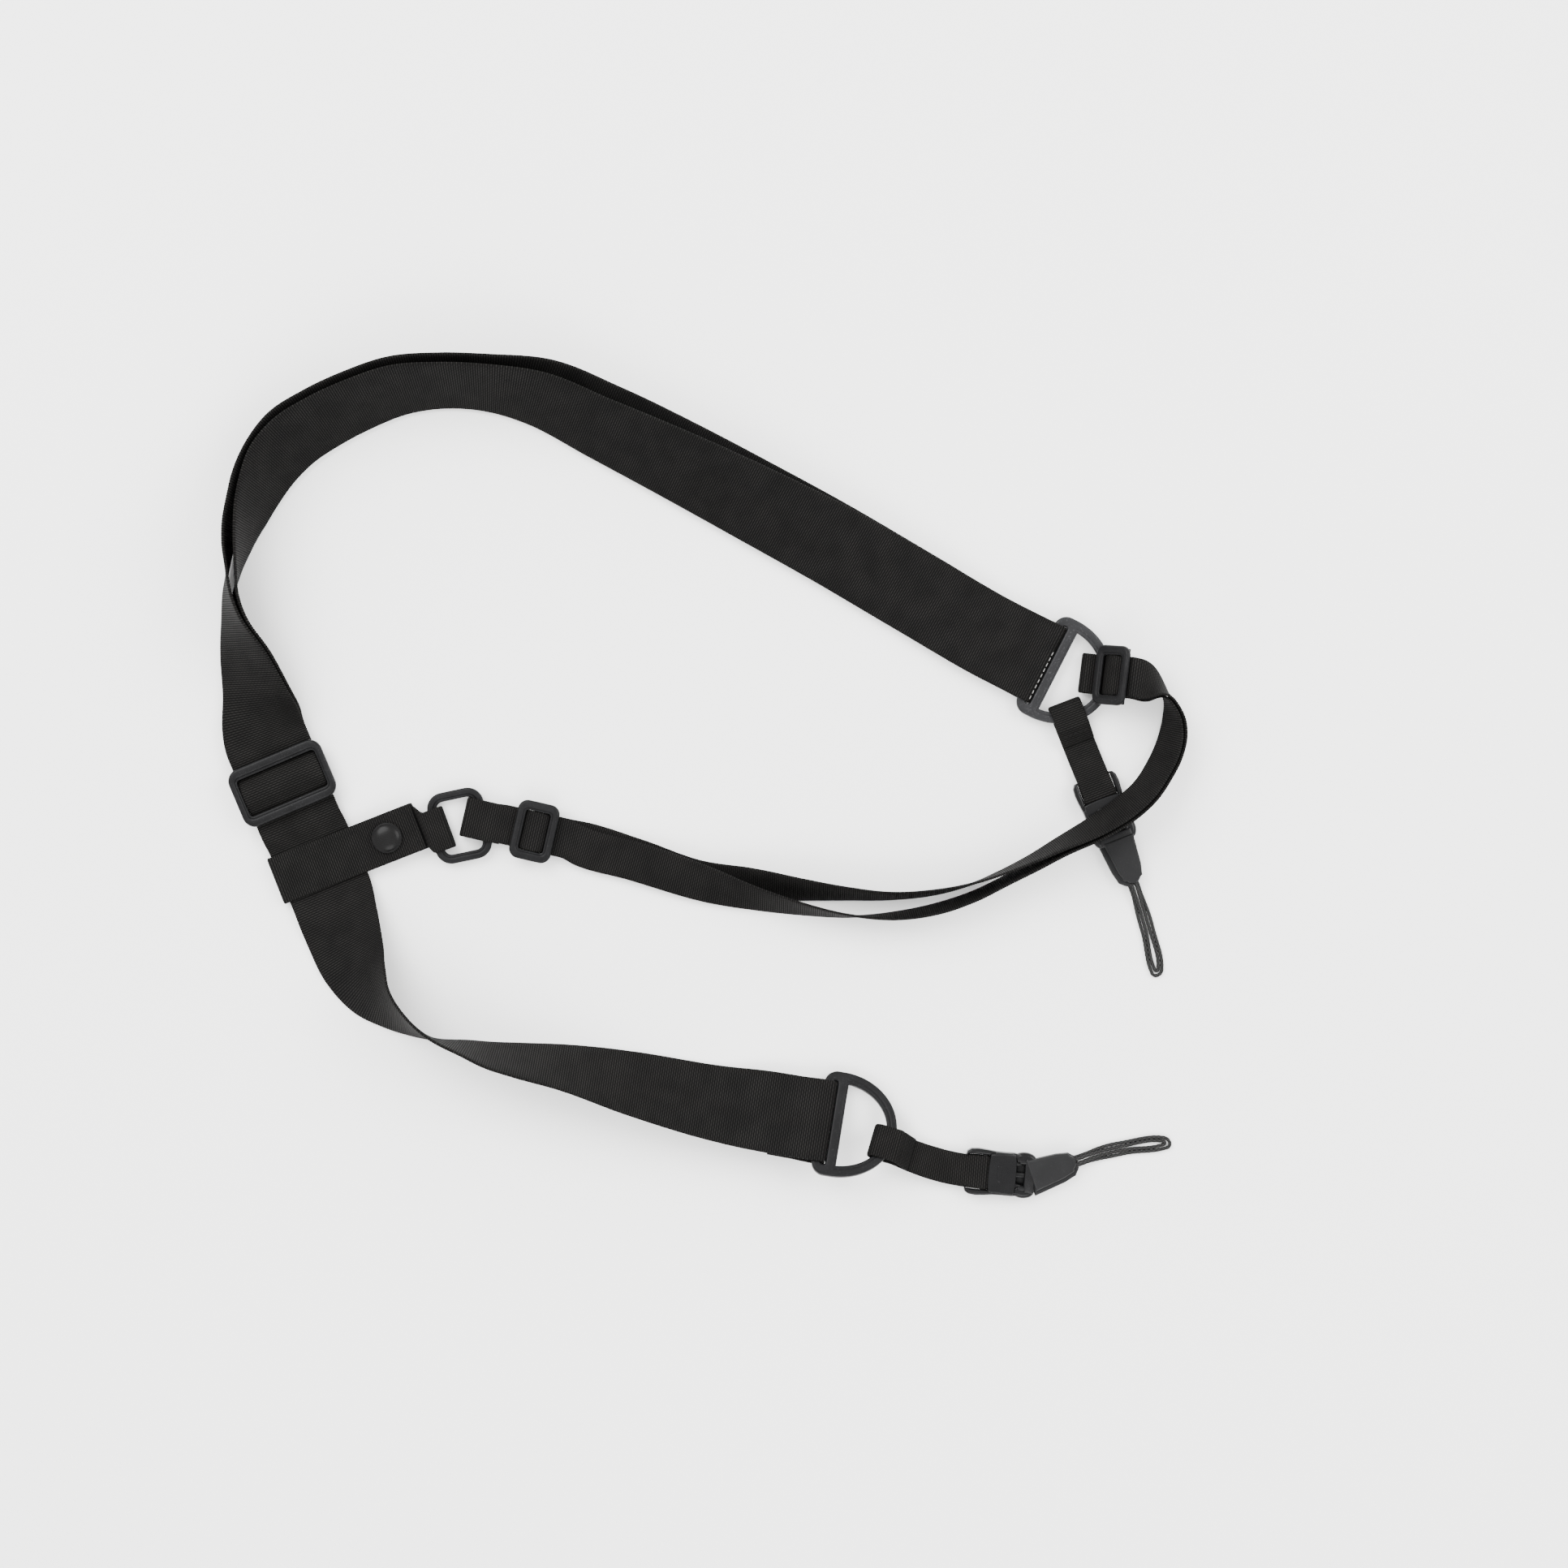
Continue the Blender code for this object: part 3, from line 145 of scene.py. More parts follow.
def barTurn(barX, barZ, halfX, halfZ, thickness, rounding=edgeRound):
    radius = rounding + webbing["gap"] + thickness / 2
    cornerX = barX + halfX - rounding
    cornerZ = halfZ - rounding
    points = [(barX, barZ + cornerZ + radius)]
    for side, first in ((1, 90), (-1, 0)):
        for step in range(7):
            turn = math.radians(first - 15 * step)
            points.append((cornerX + radius * math.cos(turn), barZ + side * cornerZ + radius * math.sin(turn)))
    return points + [(barX, barZ - cornerZ - radius)]


def foldTurn(middleX, middleZ, radius, steps=16):
    points = []
    for step in range(steps + 1):
        angle = math.radians(90.0 - 180.0 * step / steps)
        points.append((middleX + radius * math.cos(angle), middleZ + radius * math.sin(angle)))
    return points


def mirrored(points, middle=0.0):
    return [(2 * middle - x, z) for x, z in points]


def headingsOf(points):
    result = []
    for index in range(len(points)):
        step = points[min(index + 1, len(points) - 1)] - points[max(index - 1, 0)]
        result.append(Vector((step.x, step.y, 0.0)).normalized())
    return result


def leaningStation(edge, heading, lean, width, thickness, lift):
    angle = math.radians(lean)
    across = up.cross(heading) * math.cos(angle) + up * math.sin(angle)
    floorEnd = 1.0 if lean < 0 else -1.0
    centre = edge - across * (floorEnd * width / 2)
    centre.z = lay["shift"][2] + lift + width / 2 * abs(math.sin(angle)) + thickness / 2 * abs(math.cos(angle))
    return centre, across


def pairStations(rows, width, thickness):
    edges = [place(row[0], row[1]) for row in rows]
    pitch = thickness + webbing["looseGap"]
    runs = ([], [])
    for row, edge, heading in zip(rows, edges, headingsOf(edges)):
        lean = math.radians((row[2] + row[3]) / 2)
        baseLift = row[5] * width if len(row) > 5 else 0.0
        sideways = (abs(math.sin(lean)) * pitch + row[4] * width) / 2
        inward = up.cross(heading) * (-math.copysign(sideways, lean))
        for run, sign in ((0, -1.0), (1, 1.0)):
            lift = baseLift + pitch * max(0.0, sign * math.cos(lean))
            runs[run].append(leaningStation(edge + inward * sign, heading, row[2 + run], width, thickness, lift))
    return runs


def singleStations(rows, width, thickness):
    edges = [place(row[0], row[1]) for row in rows]
    return [leaningStation(edge, heading, row[2], width, thickness, 0.0)
            for row, edge, heading in zip(rows, edges, headingsOf(edges))]


def smoothRun(knots, spacing):
    gaps = [max((knots[i + 1][0] - knots[i][0]).length, 1e-6) for i in range(len(knots) - 1)]

    def slope(values, index):
        ahead = (values[index + 1] - values[index]) / gaps[index]
        behind = (values[index] - values[index - 1]) / gaps[index - 1]
        return (ahead * gaps[index - 1] + behind * gaps[index]) / (gaps[index] + gaps[index - 1])

    stations = []
    for i in range(1, len(knots) - 2):
        steps = max(1, round(gaps[i] / spacing))
        for step in range(0 if i > 1 else 1, steps):
            t = step / steps
            blended = []
            for part in (0, 1):
                values = [knot[part] for knot in knots]
                start = slope(values, i) * gaps[i]
                end = slope(values, i + 1) * gaps[i]
                near = values[i] * (2 * t ** 3 - 3 * t ** 2 + 1) + start * (t ** 3 - 2 * t ** 2 + t)
                blended.append(near + values[i + 1] * (3 * t ** 2 - 2 * t ** 3) + end * (t ** 3 - t ** 2))
            stations.append((blended[0], blended[1].normalized()))
    return stations


def joinRoute(pieces):
    route = list(pieces[0])
    for free, fixed in zip(pieces[1::2], pieces[2::2]):
        knots = route[-2:] + list(free) + fixed[:2]
        route += smoothRun(knots, webbing["freeStep"]) + fixed
    return route


def ringStack():
    radius = ring["thickness"] / 2 + webbing["gap"] + strap["thickness"] / 2
    return radius + strap["thickness"] / 2, radius


def sliderStack(thickness, bar):
    gap = webbing["gap"]
    lower = thickness / 2
    pitch = thickness + gap
    centreBar = lower + pitch / 2 + gap / 2 + bar / 2
    radius = bar / 2 + gap + thickness / 2
    under = lower + 2 * pitch + gap / 2
    return {"lower": lower, "bar": centreBar, "top": centreBar + radius, "tail": lower + pitch,
            "over": centreBar + radius + pitch + gap, "under": under, "rail": under + thickness / 2 + 1.3 * gap}


def sliderSewnEnd(stack, depth, bar, thickness, tail):
    reach = depth / 2
    rise = stack["top"] - stack["tail"]
    points = [(-tail, stack["tail"]), (-reach, stack["tail"]), (-reach * 0.5, stack["tail"] + 0.12 * rise),
              (-bar * 1.05, stack["top"] - 0.1 * thickness)]
    points += barTurn(0.0, stack["bar"], bar / 2, bar / 2, thickness, bar * 0.25)
    return points + [(-reach * 0.55, stack["lower"]), (-reach, stack["lower"]), (-reach * 1.5, stack["lower"])]


def sliderCrossing(stack, depth, rail, bar, thickness):
    reach = depth / 2
    rise = stack["over"] - stack["under"]
    half = [(-reach * 1.45, stack["under"]), (-reach, stack["under"]), (rail - reach, stack["under"]),
            (-reach * 0.5, stack["under"] + 0.45 * rise), (-bar, stack["over"] - 0.2 * thickness)]
    return half + [(0.0, stack["over"])] + mirrored(half)[::-1]


def ringWrap(barX, tail):
    radius = ringStack()[1]
    halfPitch = (strap["thickness"] + webbing["looseGap"]) / 2
    lead = [(barX - tail, halfPitch), (barX - 0.55 * tail, halfPitch * 1.2), (barX - ring["outerBar"] * 0.7, radius)]
    turn = barTurn(barX, 0.0, ring["outerBar"] / 2, ring["thickness"] / 2, strap["thickness"])
    return lead + turn + [(x, -z) for x, z in reversed(lead)]


def hardwareSpots():
    ringHeight = ringStack()[0]
    roll = math.radians(abs(places["ring_b"][3]))
    ringBHeight = max(ring["halfLength"] * math.sin(roll) + ring["thickness"] / 2,
                      strap["width"] / 2 * math.sin(roll) + ringHeight * math.cos(roll))
    smallRingHeight = narrow["thickness"] + webbing["gap"] + smallRing["thickness"] / 2
    stack = sliderStack(narrow["thickness"], smallSlider["bar"])
    tilt = math.radians(slider2Pitch)
    slider2Lift = (ringHeight + ring["thickness"] / 2 + narrow["thickness"] + 3 * webbing["gap"]
                   + smallSlider["depth"] / 2 * math.sin(tilt) - stack["rail"] * math.cos(tilt))
    spots = {name: pose(name) for name in places}
    spots["ring_a"] = pose("ring_a", ringHeight)
    spots["ring_b"] = pose("ring_b", ringBHeight)
    spots["small_ring"] = pose("small_ring", smallRingHeight)
    spots["slider_2_flat"] = pose("slider_2")
    spots["slider_2"] = pose("slider_2", slider2Lift, slider2Pitch)
    return spots, {"a": ringHeight, "b": ringBHeight}


def strapRoute(spots):
    thickness = strap["thickness"]
    stack = sliderStack(thickness, bigSlider["bar"])
    slider = spots["strap_slider"]
    sewn = sliderSewnEnd(stack, bigSlider["depth"], bigSlider["bar"], thickness, strap["tail"])
    over = sliderCrossing(stack, bigSlider["depth"], bigSlider["rail"], bigSlider["bar"], thickness)
    outerBar = -(ring["slot"] + ring["outerBar"] / 2)
    ringALoop = localStations(spots["ring_a"], ringWrap(outerBar, strap["endTail"]), -1)
    ringBLoop = localStations(spots["ring_b"], ringWrap(outerBar, strap["endTail"]), 1)
    spot = spots["keeper"] @ Vector((0.0, 0.0, thickness * 1.5 + webbing["gap"]))
    direction = slider.to_3x3().col[0].normalized()
    across = -slider.to_3x3().col[1].normalized()
    half = keeper["width"] * 0.62
    beneath = [(spot + direction * share * half, across) for share in (-1.0, -0.3, 0.3, 1.0)]
    first, second = pairStations(strapPairRows, strap["width"], thickness)
    single = singleStations(strapSingleRows, strap["width"], thickness)
    return joinRoute([localStations(slider, sewn, -1), second[::-1], ringALoop, first,
                      localStations(slider, over, -1), [], beneath, single, ringBLoop])


def narrowRoute(spots):
    thickness = narrow["thickness"]
    stack = sliderStack(thickness, smallSlider["bar"])
    slider = spots["slider_1"]
    sewn = mirrored(sliderSewnEnd(stack, smallSlider["depth"], smallSlider["bar"], thickness, narrow["tail"]))
    over = sliderCrossing(stack, smallSlider["depth"], smallSlider["rail"], smallSlider["bar"], thickness)
    ringMiddle = ringStack()[0]
    radius = ring["thickness"] / 2 + webbing["gap"] + thickness / 2
    low = ringMiddle - radius
    centre = narrow["fold"] - radius
    beneath = [(-0.4 * narrow["fold"], low * 1.6), (0.0, low), (centre * 0.6, low)]
    around = foldTurn(centre, ringMiddle, radius)[::-1]
    roundRing = localStations(spots["slider_2_flat"], beneath + around + [(centre * 0.8, ringMiddle + radius)], 1)
    ringBar = smallRing["depth"] / 2 - smallRing["band"] / 2
    ringRadius = smallRing["thickness"] / 2 + webbing["gap"] + thickness / 2
    slack = folds["narrowSlack"]
    wrap = barTurn(0.0, 0.0, smallRing["band"] / 2 + slack, smallRing["thickness"] / 2, thickness)
    tail = [(0.5 * narrow["endTail"], -ringRadius), (narrow["endTail"], -ringRadius)]
    lead = [(smallRing["band"] * 0.75, ringRadius)]
    ringEnd = localStations(skewed(spots["small_ring"], ringBar, folds["narrowTurn"]), lead + mirrored(wrap) + tail, 1)
    first, second = pairStations(narrowPairRows, narrow["width"], thickness)
    return joinRoute([localStations(slider, sewn, 1), first, roundRing, [],
                      localStations(spots["slider_2"], mirrored(over[1:-1]), 1), second[::-1],
                      localStations(slider, mirrored(over), 1), [], ringEnd])


def keeperHeights():
    pitch = strap["thickness"] + webbing["gap"]
    lower = strap["thickness"] / 2
    return lower, lower + 2 * pitch, lower + pitch + 2 * (narrow["thickness"] + webbing["gap"])


def keeperEnds():
    left = -(strap["width"] / 2 + 3 * webbing["gap"] + strap["thickness"] / 2)
    return left, left + keeper["length"]


def keeperRoute(spot):
    lower, overStrap, overTab = keeperHeights()
    left, right = keeperEnds()
    radius = (overStrap - lower) / 2
    edge = strap["width"] / 2
    middle = left + radius
    knots = [(right, overTab), (right - keeper["tabInsert"], overTab), (keeper["snapAt"], overTab),
             (edge + 0.2 * (keeper["snapAt"] - edge), overStrap), (0.0, overStrap), (middle + radius, overStrap)]
    turn = mirrored(foldTurn(middle, lower + radius, radius), middle)
    back = [(middle + radius, lower), (0.0, lower), (edge, lower), (keeper["snapAt"], lower), (right, lower)]
    return localStations(spot, knots + turn + back, 1)


def skewed(spot, barX, turn):
    return spot @ Matrix.Translation((barX, 0.0, 0.0)) @ Matrix.Rotation(math.radians(turn), 4, "Z")


def tabRoute(keeperSpot, ringSpot):
    lower, _, overTab = keeperHeights()
    right = keeperEnds()[1]
    pitch = narrow["thickness"] + webbing["gap"]
    upper = overTab - (strap["thickness"] + narrow["thickness"]) / 2 - webbing["gap"]
    inside = [(right - keeper["tabInsert"], upper), (right, upper)]
    bar = -(smallRing["depth"] / 2 - smallRing["band"] / 2)
    radius = smallRing["thickness"] / 2 + webbing["gap"] + narrow["thickness"] / 2
    slack = folds["tabSlack"]
    turn = barTurn(0.0, 0.0, smallRing["band"] / 2 + slack, smallRing["thickness"] / 2, narrow["thickness"])
    near = -smallRing["band"] * 0.75
    wrap = localStations(skewed(ringSpot, bar, folds["tabTurn"]), [(near, radius)] + turn + [(near, -radius)], 1)
    stop = localStations(keeperSpot, [(x, z - pitch) for x, z in reversed(inside)], 1)
    return joinRoute([localStations(keeperSpot, inside, 1), [], wrap, [], stop])


def linkRoute(ringSpot, buckleSpot, height):
    thickness = narrow["thickness"]
    radius = ring["thickness"] / 2 + webbing["gap"] + thickness / 2
    drop = 0.6 * (radius - height) - radius * 0.6
    over = [(link["step"], drop + thickness + webbing["gap"]), (0.62 * link["step"], radius), (radius, radius)]
    turn = mirrored(foldTurn(radius, 0.0, radius), radius)
    below = [(radius, -radius), (0.62 * link["step"], -radius), (link["step"], drop)]
    loop = localStations(ringSpot, over + turn[1:-1] + below, 1)
    middle = buckle["height"] / 2
    barRadius = buckle["bar"] / 2 + webbing["gap"] + thickness / 2
    bar = [(-0.010, middle), (-0.0045, middle + barRadius * 0.8)]
    bar += barTurn(0.0, middle, buckle["bar"] / 2, buckle["bar"] / 2, thickness, buckle["bar"] * 0.25)
    bar += [(-0.0045, middle - barRadius * 0.8), (-link["tail"], middle - barRadius * 0.8)]
    return joinRoute([loop, [], localStations(buckleSpot, bar, 1)])


# Shader node groups and materials

def newGroup(name, inputs, outputs):
    group = bpy.data.node_groups.new(name, "ShaderNodeTree")
    for label, kind, value in inputs:
        socket = group.interface.new_socket(name=label, in_out="INPUT", socket_type="NodeSocket" + kind)
        if value is not None:
            socket.default_value = value
    for label, kind in outputs:
        group.interface.new_socket(name=label, in_out="OUTPUT", socket_type="NodeSocket" + kind)
    return group, group.nodes.new("NodeGroupInput"), group.nodes.new("NodeGroupOutput")


def plug(tree, value, socket):
    if isinstance(value, bpy.types.NodeSocket):
        tree.links.new(value, socket)
    else:
        socket.default_value = value


def sums(tree, operation, *values, clamp=False):
    node = tree.nodes.new("ShaderNodeMath")
    node.operation = operation
    node.use_clamp = clamp
    for value, socket in zip(values, node.inputs):
        plug(tree, value, socket)
    return node.outputs[0]


def blendColours(tree, share, first, second):
    node = tree.nodes.new("ShaderNodeMix")
    node.data_type = "RGBA"
    plug(tree, share, node.inputs["Factor"])
    plug(tree, first, node.inputs[6])
    plug(tree, second, node.inputs[7])
    return node.outputs[2]


def speckle(tree, vector, scale, detail=2.0):
    node = tree.nodes.new("ShaderNodeTexNoise")
    plug(tree, vector, node.inputs["Vector"])
    node.inputs["Scale"].default_value = scale
    node.inputs["Detail"].default_value = detail
    return node.outputs[0]


def stretch(tree, value, low, high, newLow=0.0, newHigh=1.0):
    node = tree.nodes.new("ShaderNodeMapRange")
    for part, socket in zip((value, low, high, newLow, newHigh), node.inputs):
        plug(tree, part, socket)
    return node.outputs[0]


def weaveGroup():
    # ribs across the webbing, each a row of floats that is staggered against the next row; the colour is darkened in
    # the gaps between ribs and at the float sides as painted shade, and is lightest on the float crowns as a painted
    # highlight
    group, start, end = newGroup(
        "webbingWeave",
        [("Vector", "Vector", None), ("Rib Pitch", "Float", 0.0013), ("Float Width", "Float", 0.0022),
         ("Yarn", "Color", (0.05, 0.05, 0.05, 1)), ("Shaded Gap", "Color", (0.01, 0.01, 0.01, 1))],
        [("Color", "Color"), ("Height", "Float"), ("Roughness", "Float")])
    split = group.nodes.new("ShaderNodeSeparateXYZ")
    group.links.new(start.outputs["Vector"], split.inputs[0])
    along = sums(group, "DIVIDE", split.outputs["Y"], start.outputs["Rib Pitch"])
    row = sums(group, "FLOOR", along)
    ribShare = sums(group, "FRACT", along)
    rib = sums(group, "SINE", sums(group, "MULTIPLY", ribShare, math.pi))
    stagger = sums(group, "MULTIPLY", sums(group, "MODULO", row, 2.0), 0.5)
    lean = sums(group, "MULTIPLY", ribShare, 0.12)
    side = sums(group, "DIVIDE", split.outputs["X"], start.outputs["Float Width"])
    sideShare = sums(group, "FRACT", sums(group, "ADD", sums(group, "ADD", side, stagger), lean))
    crown = sums(group, "POWER", sums(group, "SINE", sums(group, "MULTIPLY", sideShare, math.pi)), 0.7)
    yarn = sums(group, "MULTIPLY", rib, sums(group, "MULTIPLY_ADD", crown, 0.42, 0.58))
    threads = speckle(group, start.outputs["Vector"], 5200.0, 1.0)
    worn = speckle(group, start.outputs["Vector"], 90.0, 3.0)
    bright = sums(group, "MULTIPLY", sums(group, "POWER", yarn, 1.6),
                  sums(group, "ADD", stretch(group, threads, 0.3, 0.7, 0.55, 1.0),
                       stretch(group, worn, 0.35, 0.65, -0.15, 0.2)), clamp=True)
    # painted shade and highlight: the colour goes from the gap colour in the shade between ribs to the yarn colour on
    # the lit float crowns
    group.links.new(blendColours(group, bright, start.outputs["Shaded Gap"], start.outputs["Yarn"]), end.inputs["Color"])
    group.links.new(sums(group, "MULTIPLY_ADD", threads, 0.12, yarn), end.inputs["Height"])
    group.links.new(stretch(group, yarn, 0.0, 1.0, 0.95, 0.62), end.inputs["Roughness"])
    return group


def grainGroup():
    # moulded plastic: fine speckle, slow variation, and a painted highlight that lightens the convex edges
    group, start, end = newGroup(
        "mouldedGrain",
        [("Vector", "Vector", None), ("Edge", "Float", 0.5), ("Body", "Color", (0.03, 0.03, 0.03, 1)),
         ("Fleck And Edge Highlight", "Color", (0.12, 0.12, 0.12, 1)), ("Speckle", "Float", 1.0), ("Gloss", "Float", 0.4)],
        [("Color", "Color"), ("Height", "Float"), ("Roughness", "Float")])
    fine = speckle(group, start.outputs["Vector"], 3200.0, 2.0)
    dots = stretch(group, speckle(group, start.outputs["Vector"], 1500.0, 1.0), 0.62, 0.76)
    slow = speckle(group, start.outputs["Vector"], 120.0, 2.0)
    edge = stretch(group, start.outputs["Edge"], 0.53, 0.62)
    # painted highlight: convex edges, found by pointiness, get the lighter second colour in patches set by slow noise
    edgeHighlight = sums(group, "MULTIPLY", edge, stretch(group, slow, 0.35, 0.65, 0.25, 0.8), clamp=True)
    flecks = sums(group, "MULTIPLY", sums(group, "MULTIPLY", dots, 0.35), start.outputs["Speckle"])
    share = sums(group, "ADD", edgeHighlight, sums(group, "ADD", flecks, stretch(group, slow, 0.3, 0.7, 0.0, 0.10)),
                 clamp=True)
    group.links.new(blendColours(group, share, start.outputs["Body"], start.outputs["Fleck And Edge Highlight"]), end.inputs["Color"])
    group.links.new(sums(group, "MULTIPLY", fine, start.outputs["Speckle"]), end.inputs["Height"])
    rough = sums(group, "ADD", start.outputs["Gloss"], stretch(group, fine, 0.3, 0.7, -0.06, 0.08))
    group.links.new(rough, end.inputs["Roughness"])
    return group


def braidGroup():
    # braided cord: two sets of strands that cross in diamonds, darkened between the strands as painted shade and
    # lightest on the strand crowns as a painted highlight
    group, start, end = newGroup(
        "cordBraid",
        [("Vector", "Vector", None), ("Strands", "Float", 8.0), ("Pitch", "Float", 0.0016),
         ("Yarn", "Color", (0.05, 0.05, 0.05, 1)), ("Shaded Gap", "Color", (0.008, 0.008, 0.008, 1))],
        [("Color", "Color"), ("Height", "Float"), ("Roughness", "Float")])
    split = group.nodes.new("ShaderNodeSeparateXYZ")
    group.links.new(start.outputs["Vector"], split.inputs[0])
    around = sums(group, "MULTIPLY", split.outputs["X"], start.outputs["Strands"])
    along = sums(group, "DIVIDE", split.outputs["Y"], start.outputs["Pitch"])
    first = sums(group, "ABSOLUTE", sums(group, "SINE", sums(group, "MULTIPLY", sums(group, "ADD", around, along),
                                                             math.pi / 2)))
    second = sums(group, "ABSOLUTE", sums(group, "SINE", sums(group, "MULTIPLY",
                                                              sums(group, "SUBTRACT", around, along), math.pi / 2)))
    diamond = sums(group, "MULTIPLY", first, second)
    threads = speckle(group, start.outputs["Vector"], 3000.0, 1.0)
    bright = sums(group, "MULTIPLY", diamond, stretch(group, threads, 0.3, 0.7, 0.5, 1.0), clamp=True)
    # painted shade between the strands and painted highlight on their crowns
    group.links.new(blendColours(group, bright, start.outputs["Shaded Gap"], start.outputs["Yarn"]), end.inputs["Color"])
    group.links.new(diamond, end.inputs["Height"])
    group.links.new(stretch(group, diamond, 0.0, 1.0, 0.95, 0.65), end.inputs["Roughness"])
    return group


groups = {"weave": weaveGroup(), "grain": grainGroup(), "braid": braidGroup()}


def surface(name, groupName, reading, values, bump, distance, sockets):
    material = bpy.data.materials.new(name)
    material.use_nodes = True
    tree = material.node_tree
    shader = tree.nodes["Principled BSDF"]
    effect = tree.nodes.new("ShaderNodeGroup")
    effect.node_tree = groups[groupName]
    source = tree.nodes.new("ShaderNodeTexCoord")
    tree.links.new(source.outputs[reading], effect.inputs["Vector"])
    if groupName == "grain":
        shape = tree.nodes.new("ShaderNodeNewGeometry")
        tree.links.new(shape.outputs["Pointiness"], effect.inputs["Edge"])
    for label, value in values.items():
        effect.inputs[label].default_value = value
    relief = tree.nodes.new("ShaderNodeBump")
    relief.inputs["Strength"].default_value = bump
    relief.inputs["Distance"].default_value = distance
    tree.links.new(effect.outputs["Height"], relief.inputs["Height"])
    tree.links.new(effect.outputs["Color"], shader.inputs["Base Color"])
    tree.links.new(effect.outputs["Roughness"], shader.inputs["Roughness"])
    tree.links.new(relief.outputs["Normal"], shader.inputs["Normal"])
    for label, value in sockets.items():
        shader.inputs[label].default_value = value
    return material


# the gap colour is the painted shade between the ribs, the yarn colour the lit float crowns
yarnLook = {"Yarn": (0.0112, 0.0106, 0.0100, 1), "Shaded Gap": (0.0011, 0.0011, 0.0011, 1)}
materials = {
    "wideWebbing": surface("wideWebbing", "weave", "UV", {"Rib Pitch": strap["pitch"],
                           "Float Width": strap["floatWidth"], **yarnLook}, 0.9, 0.00022,
                           {"Specular IOR Level": 0.05}),
    "narrowWebbing": surface("narrowWebbing", "weave", "UV", {"Rib Pitch": narrow["pitch"],
                             "Float Width": narrow["floatWidth"], **yarnLook}, 0.9, 0.00018,
                             {"Specular IOR Level": 0.05}),
    # the second colour of each plastic and thread below serves its flecks and the painted highlight on its convex
    # edges
    "satinPlastic": surface("satinPlastic", "grain", "Object", {"Body": (0.0034, 0.0034, 0.0036, 1),
                            "Fleck And Edge Highlight": (0.026, 0.026, 0.028, 1), "Speckle": 1.0, "Gloss": 0.38}, 0.35, 0.00004,
                            {"Specular IOR Level": 0.08}),
    "greyPlastic": surface("greyPlastic", "grain", "Object", {"Body": (0.0085, 0.0085, 0.0092, 1),
                           "Fleck And Edge Highlight": (0.050, 0.050, 0.053, 1), "Speckle": 1.3, "Gloss": 0.38}, 0.40, 0.00004,
                           {"Specular IOR Level": 0.13}),
    "glossPlastic": surface("glossPlastic", "grain", "Object", {"Body": (0.0022, 0.0022, 0.0024, 1),
                            "Fleck And Edge Highlight": (0.014, 0.014, 0.0145, 1), "Speckle": 0.25, "Gloss": 0.26}, 0.15, 0.00003,
                            {"Specular IOR Level": 0.13}),
    "mattePlastic": surface("mattePlastic", "grain", "Object", {"Body": (0.0055, 0.0055, 0.0058, 1),
                            "Fleck And Edge Highlight": (0.020, 0.020, 0.0205, 1), "Speckle": 0.6, "Gloss": 0.52}, 0.25, 0.00003,
                            {"Specular IOR Level": 0.12}),
    "enamel": surface("enamel", "grain", "Object", {"Body": (0.0035, 0.0034, 0.0034, 1),
                      "Fleck And Edge Highlight": (0.02, 0.02, 0.02, 1), "Speckle": 0.1, "Gloss": 0.26}, 0.08, 0.00002,
                      {"Specular IOR Level": 0.08}),
    "thread": surface("thread", "grain", "Object", {"Body": (0.0045, 0.0044, 0.0043, 1),
                      "Fleck And Edge Highlight": (0.007, 0.0068, 0.0066, 1), "Speckle": 0.5, "Gloss": 0.62}, 0.3, 0.00004,
                      {"Specular IOR Level": 0.06}),
    "paleThread": surface("paleThread", "grain", "Object", {"Body": (0.16, 0.157, 0.152, 1),
                          "Fleck And Edge Highlight": (0.30, 0.295, 0.29, 1), "Speckle": 0.5, "Gloss": 0.62}, 0.3, 0.00004, {}),
    # the braid's gap colour is the painted shade between its strands
    "braid": surface("braid", "braid", "UV", {"Strands": 8.0, "Pitch": 0.0011,
                     "Yarn": (0.014, 0.0135, 0.013, 1), "Shaded Gap": (0.001, 0.001, 0.001, 1)}, 0.8, 0.00012,
                     {"Specular IOR Level": 0.3}),
}
print("materials made")


# Making and finishing pieces

def pick(piece):
    bpy.ops.object.select_all(action="DESELECT")
    piece.select_set(True)
    bpy.context.view_layer.objects.active = piece


def applyAll(piece):
    pick(piece)
    for modifier in list(piece.modifiers):
        bpy.ops.object.modifier_apply(modifier=modifier.name)


def layDown(piece, spot=None):
    # the place goes into the mesh, so the object stays at the origin
    if spot is not None:
        piece.data.transform(spot)
    piece.matrix_world = Matrix.Identity(4)


def joinPieces(name, pieces):
    bpy.ops.object.select_all(action="DESELECT")
    for piece in pieces:
        piece.select_set(True)
    bpy.context.view_layer.objects.active = pieces[0]
    bpy.ops.object.join()
    whole = bpy.context.object
    whole.name = name
    whole.data.name = name
    return whole


def finishPiece(piece, material, replaced=(), sharp=40):
    piece.data.materials.clear()
    piece.data.materials.append(materials[material])
    pick(piece)
    bpy.ops.object.shade_smooth_by_angle(angle=math.radians(sharp))
    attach(piece, "root")
    if replaced:
        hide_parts(*replaced)
    piece.select_set(False)
    return piece


def evenStations(route, spacing):
    # stations at even steps along the route, with the length that each lies at
    lengths = [0.0]
    for first, second in zip(route, route[1:]):
        lengths.append(lengths[-1] + (second[0] - first[0]).length)
    steps = max(2, round(lengths[-1] / spacing))
    stations = []
    index = 0
    for step in range(steps + 1):
        wanted = lengths[-1] * step / steps
        while index < len(route) - 2 and lengths[index + 1] < wanted:
            index += 1
        span = max(lengths[index + 1] - lengths[index], 1e-9)
        share = (wanted - lengths[index]) / span
        centre = route[index][0].lerp(route[index + 1][0], share)
        across = route[index][1].lerp(route[index + 1][1], share).normalized()
        stations.append((centre, across, wanted))
    return stations


